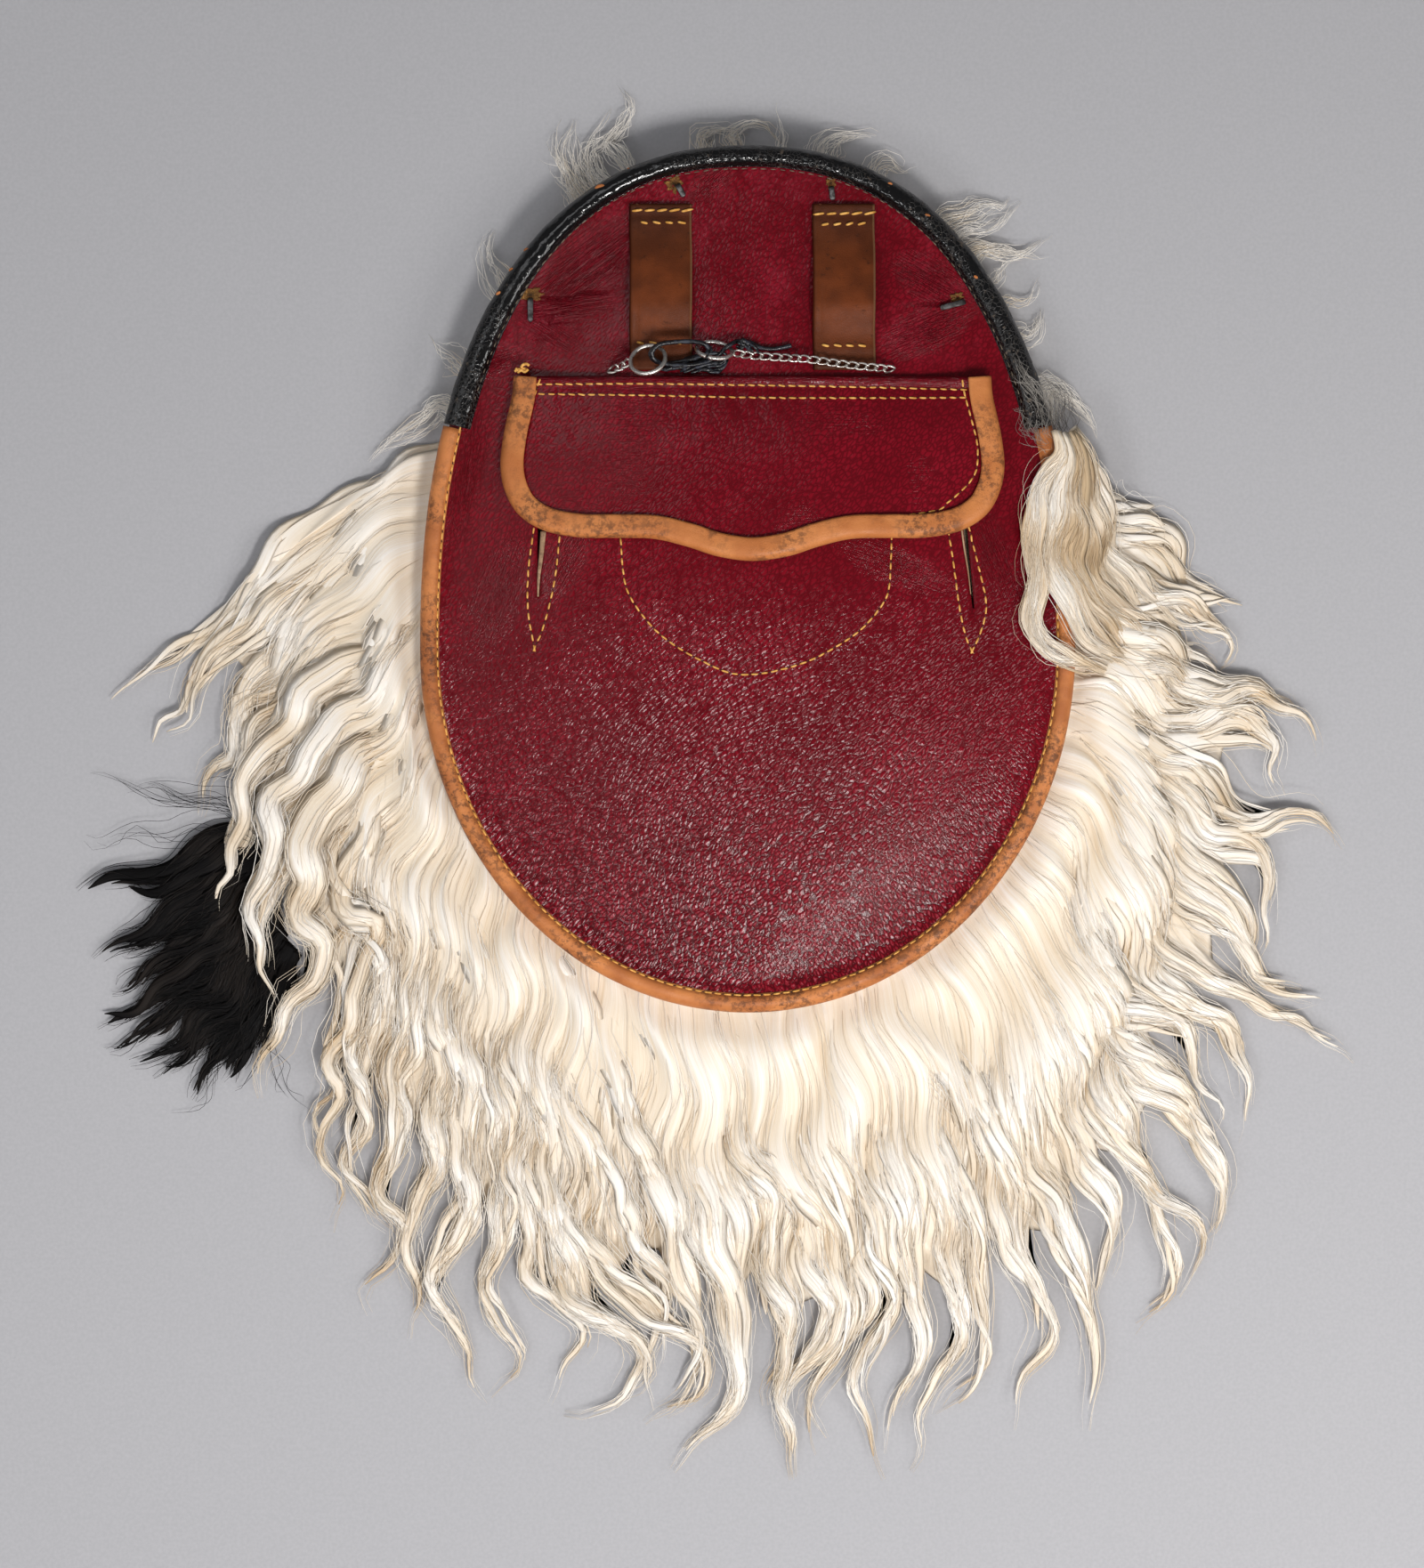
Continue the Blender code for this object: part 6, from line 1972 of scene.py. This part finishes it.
def strand_paths(locks, count, seed, stations, loose, wander, length=(0.42, 0.62),
                 start=(-0.05, 0.60)):
    """middle + across x (spread x reach x cos + wander) + up x (high x reach x sin)."""
    chance = np.random.default_rng(seed)
    weights = locks.spread.mean(axis=1) * (locks.run[:, -1] - locks.run[:, 0])
    which = chance.choice(len(locks.tone), count, p=weights / weights.sum())
    start = chance.uniform(*start, count).clip(0.0)
    end = (start + chance.uniform(*length, count)).clip(max=1.0)
    t = np.linspace(0.0, 1.0, stations)
    share = start[:, None] + (end - start)[:, None] * t
    middle, across, up, sizes = follow(locks, which, share)
    spread, high, tone = sizes[..., 0], sizes[..., 1], sizes[..., 2]
    turn = chance.uniform(-0.2, np.pi + 0.2, count)[:, None]
    turn = turn + chance.normal(0, 0.4, (count, 1)) * share
    rise = smooth_step(t / 0.12) * smooth_step((1.05 - t) / 0.12)
    reach = chance.uniform(*loose, count)[:, None] * (0.75 + 0.25 * rise)
    waves = chance.uniform(1.0, 3.5, (count, 1)) * share * 2 * np.pi
    waves = waves + chance.uniform(0, 6.3, (count, 1))
    own = chance.normal(0.0, wander, (count, 1)) * np.sin(waves) * rise * MM
    side = spread * reach * np.cos(turn) + own
    lift = high * reach * np.sin(turn) + 0.10 * MM + 0.3 * np.abs(own)
    points = middle + across * side[..., None] + up * lift[..., None]
    points[..., 2] = np.maximum(points[..., 2], PAPER_GAP)
    return points, tone + chance.uniform(-0.22, 0.30, (count, 1))


def strands(name, made, thick, finish):
    """Three-sided tubes of half thickness thick that thin out at both ends."""
    paths, tone = made
    t = np.linspace(0.0, 1.0, paths.shape[1])
    size = thick * MM * (0.3 + 0.7 * smooth_step(t / 0.1) * smooth_step((1.0 - t) / 0.25))
    points, quads, triangles = tubes(paths, size, size, 3, 0.5)
    tone = np.concatenate([np.repeat(tone, 3, axis=1), tone[:, [0, -1]]], axis=1)
    add_piece(name, points, quads, triangles, finish, values={"tone": tone})


print("a lock body has", LOCK_SIDES, "sides and a strand 3")


# %% Lay the strands
def carpet(lines, count, seed):
    """The mat's upper face as wide, flat locks without bodies, for strands to lie on."""
    chance = np.random.default_rng(seed)
    at = (np.arange(count) + chance.uniform(0.0, 1.0, count)) / count * (len(lines) - 1.001)
    zero = np.zeros(count)
    laid = Locks(lines, at, zero, zero + 0.9, zero + 5 * MM, zero, seed + 1)
    share = np.linspace(0.0, 0.9, LOCK_STATIONS)[None] * np.ones((count, 1))
    laid.middle, laid.tone, laid.run = mat_top(lines, at, share)
    laid.middle[..., 2] += 0.25 * MM
    laid.spread = np.full_like(laid.wide, 4.5 * MM)
    laid.high = np.full_like(laid.wide, 0.35 * MM)
    return laid


STRAND_STATIONS = 17
mat_strands = strand_paths(carpet(white_lines, 150, 51), 660, 52, STRAND_STATIONS, (0.2, 1.4), 0.9)
strands("white_strands_mat", mat_strands, 0.13, white_strand)
for number, seed in enumerate((101, 102), start=1):
    laid = strand_paths(white_locks, 950, seed, STRAND_STATIONS, (0.85, 1.4), 0.6)
    strands(f"white_strands_{number}", laid, 0.14, white_strand)
white_strays = strand_paths(white_locks, 460, 104, STRAND_STATIONS, (1.2, 2.6), 1.8)
strands("white_stray_hairs", white_strays, 0.09, white_strand)

# %% [markdown]
# ## Hair over the edge
# Below the roll on the right, hair has blown over the edge on to the leather. Its locks lie on the
# binding, so their height is given: level on the back, then down to the rest outside the edge.

# %% Locks over the edge
OVER_FLOWS = (
    (1183, 484, 1190, 510, 1178, 528, 1160, 545, 1150, 565, 1147, 592, 1152, 620, 1160, 645, 1160,
     670,
     1156, 696, 1161, 722, 1173, 742, 1192, 754, 1216, 757, 1245, 754, 1275, 770, 1300, 800),
    (1187, 486, 1197, 515, 1186, 536, 1169, 554, 1160, 576, 1159, 602, 1165, 630, 1172, 652, 1170,
     674,
     1165, 696, 1169, 718, 1181, 735, 1200, 746, 1228, 749, 1262, 757, 1295, 780, 1335, 815),
    (1192, 488, 1203, 520, 1196, 546, 1184, 568, 1179, 596, 1184, 622, 1193, 646, 1199, 668, 1202,
     690,
     1213, 714, 1231, 729, 1260, 735, 1292, 748, 1330, 770, 1375, 790, 1423, 786, 1458, 798),
    (1197, 488, 1210, 520, 1208, 548, 1199, 576, 1197, 602, 1204, 632, 1215, 657, 1227, 681, 1245,
     704,
     1270, 722, 1305, 738, 1345, 762, 1378, 785, 1423, 780, 1458, 792, 1477, 818),
    (1202, 486, 1219, 520, 1226, 550, 1224, 580, 1230, 612, 1243, 642, 1258, 670, 1277, 698, 1300,
     716,
     1330, 726, 1355, 742, 1369, 764),
    (1206, 480, 1228, 515, 1240, 550, 1246, 585, 1258, 618, 1275, 645, 1297, 668, 1325, 688, 1352,
     702,
     1380, 716, 1388, 735),
)
OVER_TOP = 20.7 * MM
over_lines = flow_lines(OVER_FLOWS)
over_at = np.array([0.0, 0.2, 0.5, 0.8, 1.1, 1.8, 2.1, 2.5, 2.9, 3.2, 3.6, 4.0, 4.4, 4.8, 4.999])
over_wide = np.array([4.2, 5.2, 6.2, 5.0, 4.5, 5.5, 6.2, 6.9, 5.8, 6.9, 7.5, 7.5, 8.1, 7.5, 6.2])
zeros = np.zeros(len(over_at))
over_end = np.random.default_rng(60).uniform(0.80, 1.0, len(over_at))
over_wide = over_wide / 2 * MM
over_locks = Locks(over_lines, over_at, zeros, over_end, over_wide, zeros, 61, sway=0.9 * MM)
past = smooth_step(outside(over_locks.middle[..., 0], over_locks.middle[..., 1]) / (16 * MM))
share_left = 1.0 - np.linspace(0.0, 1.0, LOCK_STATIONS) ** 2
level = OVER_TOP + 0.5 * MM * np.sin(over_locks.run / (4 * MM))
over_locks.middle[..., 2] = level + (12.5 * MM * share_left + 1.5 * MM - level) * past
over_locks.tone -= 0.13
lock_bodies("edge_locks", over_locks, white_lock, stands_for=["edge_lock"])
over_strands = strand_paths(over_locks, 260, 62, 20, (0.8, 1.5), 0.8)
strands("edge_strands", over_strands, 0.12, white_strand)
loose_hairs = strand_paths(over_locks, 70, 63, 22, (1.1, 2.4), 1.3)
strands("edge_stray_hairs", loose_hairs, 0.055, white_strand)

# %% [markdown]
# ## The black tassel
# The tassel is coarser, straighter hair with blunt, ragged ends. It is made just like the white
# hair, from its own flows, but with thin lock bodies and more, looser strands.

# %% The black tassel
BLACK_FLOWS = (
    (300, 925, 262, 932, 220, 943, 185, 962, 150, 982, 120, 990, 90, 1003, 58, 1018),
    (305, 950, 265, 985, 225, 1010, 190, 1035, 160, 1060, 130, 1075, 97, 1086),
    (305, 980, 270, 1010, 235, 1045, 200, 1075, 165, 1098, 130, 1112, 103, 1118),
    (308, 1005, 275, 1040, 240, 1075, 205, 1105, 165, 1125, 125, 1142, 88, 1157),
    (312, 1025, 280, 1060, 250, 1095, 210, 1130, 170, 1155, 130, 1173, 101, 1190),
    (315, 1040, 285, 1080, 255, 1120, 220, 1150, 180, 1180, 127, 1207),
    (318, 1055, 290, 1100, 265, 1135, 235, 1165, 200, 1190, 167, 1212),
    (322, 1060, 295, 1110, 275, 1150, 250, 1185, 220, 1215, 196, 1243),
    (326, 1065, 300, 1110, 285, 1155, 270, 1190, 250, 1215, 236, 1228),
    (330, 1070, 310, 1110, 303, 1150, 297, 1185, 287, 1205),
)
black_lines = flow_lines(BLACK_FLOWS)
wide_black = scattered(black_lines, 30, 71, (0.0, 0.01), (0.72, 0.95), (5.5, 9.0), (0.0, 1.0),
                       blunt=5.0)
thin_black = scattered(black_lines, 40, 81, (0.0, 0.01), (0.78, 1.0), (2.4, 4.6), (0.8, 2.0),
                       blunt=4.0)
black_locks = wide_black + thin_black
# The roots lie on the paper under the white hair, and the tassel is thickest in its middle.
from_root = np.linspace(0.0, 1.0, LOCK_STATIONS)
black_rise = 0.9 + 3.0 * smooth_step((from_root - 0.08) / 0.4) * (1.0 - from_root) ** 0.5
above = np.random.default_rng(70).uniform(0.0, 1.2, (len(black_locks.tone), 1)) * black_rise / 4.0
black_locks.middle[..., 2] = black_locks.high + (black_rise + above) * MM
black_locks.spread = black_locks.wide.max(axis=1, keepdims=True) * (1.15 - 0.35 * from_root)
lock_bodies("black_locks", black_locks, black_lock, stands_for=["black_tassel"])
black_laid = strand_paths(black_locks, 700, 72, 12, (0.7, 1.5), 0.9)
strands("black_strands", black_laid, 0.13, black_strand)
BLACK_STRAYS = (
    (300, 940, 250, 915, 200, 900, 150, 890, 96, 872),
    (300, 945, 260, 905, 215, 885, 175, 880, 140, 892),
    (290, 950, 220, 930, 160, 934, 110, 950, 92, 942),
    (290, 1160, 270, 1200, 240, 1236, 200, 1262, 170, 1258),
    (300, 1160, 310, 1200, 330, 1240, 352, 1262),
)


def one_each(lines, wide, seed, sway):
    """One lock of the given half width along each line, without lift."""
    zeros = np.zeros(len(lines))
    return Locks(lines, zeros + np.arange(len(lines)), zeros, zeros + 1.0, zeros + wide * MM, zeros,
                 seed, sway=sway * MM)


stray_locks = one_each(flow_lines(BLACK_STRAYS), 5.0, 97, 0.6)
stray_locks.middle[..., 2] = (1.0 + 4.0 * (1.0 - from_root)) * MM
black_stray = strand_paths(stray_locks, 30, 98, 16, (0.2, 1.6), 1.4, (0.5, 1.0), (0.0, 0.2))
strands("black_stray_hairs", black_stray, 0.085, black_strand)
print("black hairs:", len(black_laid[1]) + len(black_stray[1]))

# %% [markdown]
# ## Wisps
# Behind the roll the hair is short, and only wisps of it stick out past the edge. They are nothing
# but strands: all come from under the roll, and they end one by one, so each wisp thins out.

# %% Wisps round the roll
WISP_FLOWS = (
    (712, 200, 698, 179, 678, 158, 705, 135, 714, 112, 696, 89),
    (690, 205, 670, 190, 659, 167, 678, 153, 701, 144, 712, 124),
    (684, 215, 664, 200, 655, 182, 660, 160, 678, 142, 690, 120),
    (664, 235, 646, 213, 632, 190, 627, 167, 630, 149, 634, 130),
    (656, 238, 639, 213, 622, 200, 613, 184, 600, 176),
    (674, 222, 652, 205, 640, 186, 640, 164, 650, 140, 648, 118),
    (800, 190, 788, 165, 783, 149, 797, 140, 815, 144, 838, 153),
    (835, 190, 825, 165, 815, 149, 834, 138, 857, 142, 882, 156),
    (884, 190, 880, 165, 884, 149, 882, 130, 875, 110),
    (930, 195, 921, 172, 930, 156, 949, 147, 967, 144, 990, 142),
    (945, 198, 939, 176, 944, 165, 953, 154, 972, 152),
    (985, 215, 984, 190, 999, 179, 1015, 188, 1030, 180),
    (1045, 255, 1068, 239, 1091, 231, 1109, 227, 1132, 234, 1147, 214),
    (1065, 275, 1086, 256, 1114, 254, 1137, 245, 1152, 225),
    (1075, 292, 1098, 273, 1119, 273, 1141, 282, 1160, 280, 1187, 263),
    (1085, 302, 1107, 284, 1128, 282, 1151, 284, 1180, 279),
    (1095, 328, 1116, 312, 1121, 300, 1132, 292, 1150, 292),
    (1108, 352, 1132, 338, 1151, 335, 1165, 325, 1172, 306),
    (1120, 385, 1140, 372, 1158, 374, 1172, 362, 1178, 345),
    (575, 345, 556, 318, 545, 296, 547, 276, 560, 258),
    (530, 420, 508, 405, 492, 392, 486, 372),
    (520, 480, 494, 452, 470, 466, 440, 492, 416, 520),
    (1165, 490, 1172, 461, 1168, 434, 1183, 427, 1206, 445, 1229, 482),
    (1170, 490, 1180, 465, 1176, 440, 1194, 436, 1215, 458, 1232, 492),
)
print("wisps:", len(WISP_FLOWS))
wisps = one_each(flow_lines(WISP_FLOWS), 3.4, 91, 0.3)
wisps.middle[..., 2] = (1.0 + 5.0 * (1.0 - from_root) ** 1.5) * MM
wisps.high = wisps.high * 1.5
# Painted light: the wisps' tone is raised so that they stay pale in the shadow where they lie.
wisps.tone += 0.34
wisp_laid = strand_paths(wisps, 600, 92, 10, (0.1, 1.8), 0.8, (0.25, 1.0), (-0.05, 0.10))
strands("wisps", wisp_laid, 0.11, white_strand)

# %% [markdown]
# ## Fuzz over the roll's right end
# A few short grey hairs have been rubbed up over the roll beside the tan binding. They are strands
# too, without locks, and lie on the roll's own height.

# %% Fuzz over the roll's right end
FUZZ_FLOWS = (
    (1194, 500, 1180, 478, 1168, 452, 1158, 428, 1148, 404, 1140, 386),
    (1186, 500, 1170, 482, 1160, 458, 1150, 436, 1138, 414, 1126, 404),
    (1180, 502, 1164, 492, 1150, 472, 1142, 452, 1136, 436),
    (1200, 496, 1190, 470, 1184, 446, 1172, 426, 1166, 404),
)
GREY_TONES = ((0.07, 0.062, 0.055), (0.20, 0.18, 0.16), (0.42, 0.39, 0.35))
grey_strand = strand_finish("grey_strand", GREY_TONES, 0.4, 0.45)
fuzz = one_each(flow_lines(FUZZ_FLOWS), 3.0, 95, 0.3)
from_roll = np.abs(outside(fuzz.middle[..., 0], fuzz.middle[..., 1]) / MM + 5.0)
roll_height = smooth_step(1.0 - from_roll / 9.0)
fuzz.middle[..., 2] = (12.0 + 8.6 * roll_height) * MM
fuzz_laid = strand_paths(fuzz, 110, 96, 10, (0.2, 1.8), 1.6, (0.25, 0.8), (-0.05, 0.35))
strands("roll_fuzz", fuzz_laid, 0.07, grey_strand)
# %% [markdown]
# ## Floor and light
# The sporran lies on pale grey paper. The key light stands high, so that its shadows stay short,
# and a lower one on the right gives the grain its sparkle. Weaker lights fill from the left,
# brighten the foot of the body and draw the long highlight along the roll.

# %% Floor
FLOOR_HALF = 4.0


def paper():
    """Pale grey with a faint speckle."""
    f = Finish("paper", specular_ior_level=0.2)
    speckle = f.range(f.noise(900.0, 3.0), 0.2, 0.8)
    colour = f.mix(speckle, (0.42, 0.415, 0.430), (0.46, 0.455, 0.470))
    rough = f.range(f.noise(300.0), 0.0, 1.0, 0.85, 0.95)
    return f.finish(colour, rough)


floor_mesh = bpy.data.meshes.new("paper_sheet")
floor_corners = np.array([(-1, -1), (1, -1), (1, 1), (-1, 1)]) * FLOOR_HALF
floor_mesh.from_pydata([(x, y, -0.0002) for x, y in floor_corners.tolist()], [], [(0, 1, 2, 3)])
floor_mesh.materials.append(paper())
floor = bpy.data.objects.new("paper_sheet", floor_mesh)
bpy.context.scene.collection.objects.link(floor)


# %% Lights
def soft_light(name, place, size, power, colour):
    """A square light that faces the body."""
    data = bpy.data.lights.new(name, "AREA")
    data.size = size
    data.energy = power
    data.color = colour
    light = bpy.data.objects.new(name, data)
    light.location = place
    light.rotation_euler = (-Vector(place)).to_track_quat("-Z", "Y").to_euler()
    bpy.context.scene.collection.objects.link(light)
    print("light:", name, power, "W")


soft_light("key", (0.28, -0.56, 1.10), 0.28, 9.5, (1.0, 0.985, 0.97))
soft_light("low_key", (0.95, -0.45, 0.85), 0.5, 5.5, (1.0, 0.985, 0.97))
soft_light("left_sheen", (-0.55, -0.80, 1.15), 0.4, 3.6, (0.97, 0.98, 1.0))
soft_light("roll_shine", (-0.50, 0.74, 1.45), 0.6, 2.2, (0.97, 0.98, 1.0))
soft_light("fill", (-1.20, 0.05, 1.2), 1.2, 4.0, (0.96, 0.975, 1.0))
world = bpy.data.worlds.new("studio")
world.use_nodes = True
sky = world.node_tree.nodes["Background"].inputs
sky["Color"].default_value, sky["Strength"].default_value = (0.93, 0.95, 1.0, 1.0), 0.15
bpy.context.scene.world = world
bpy.context.scene.view_settings.view_transform = "Standard"

# %% [markdown]
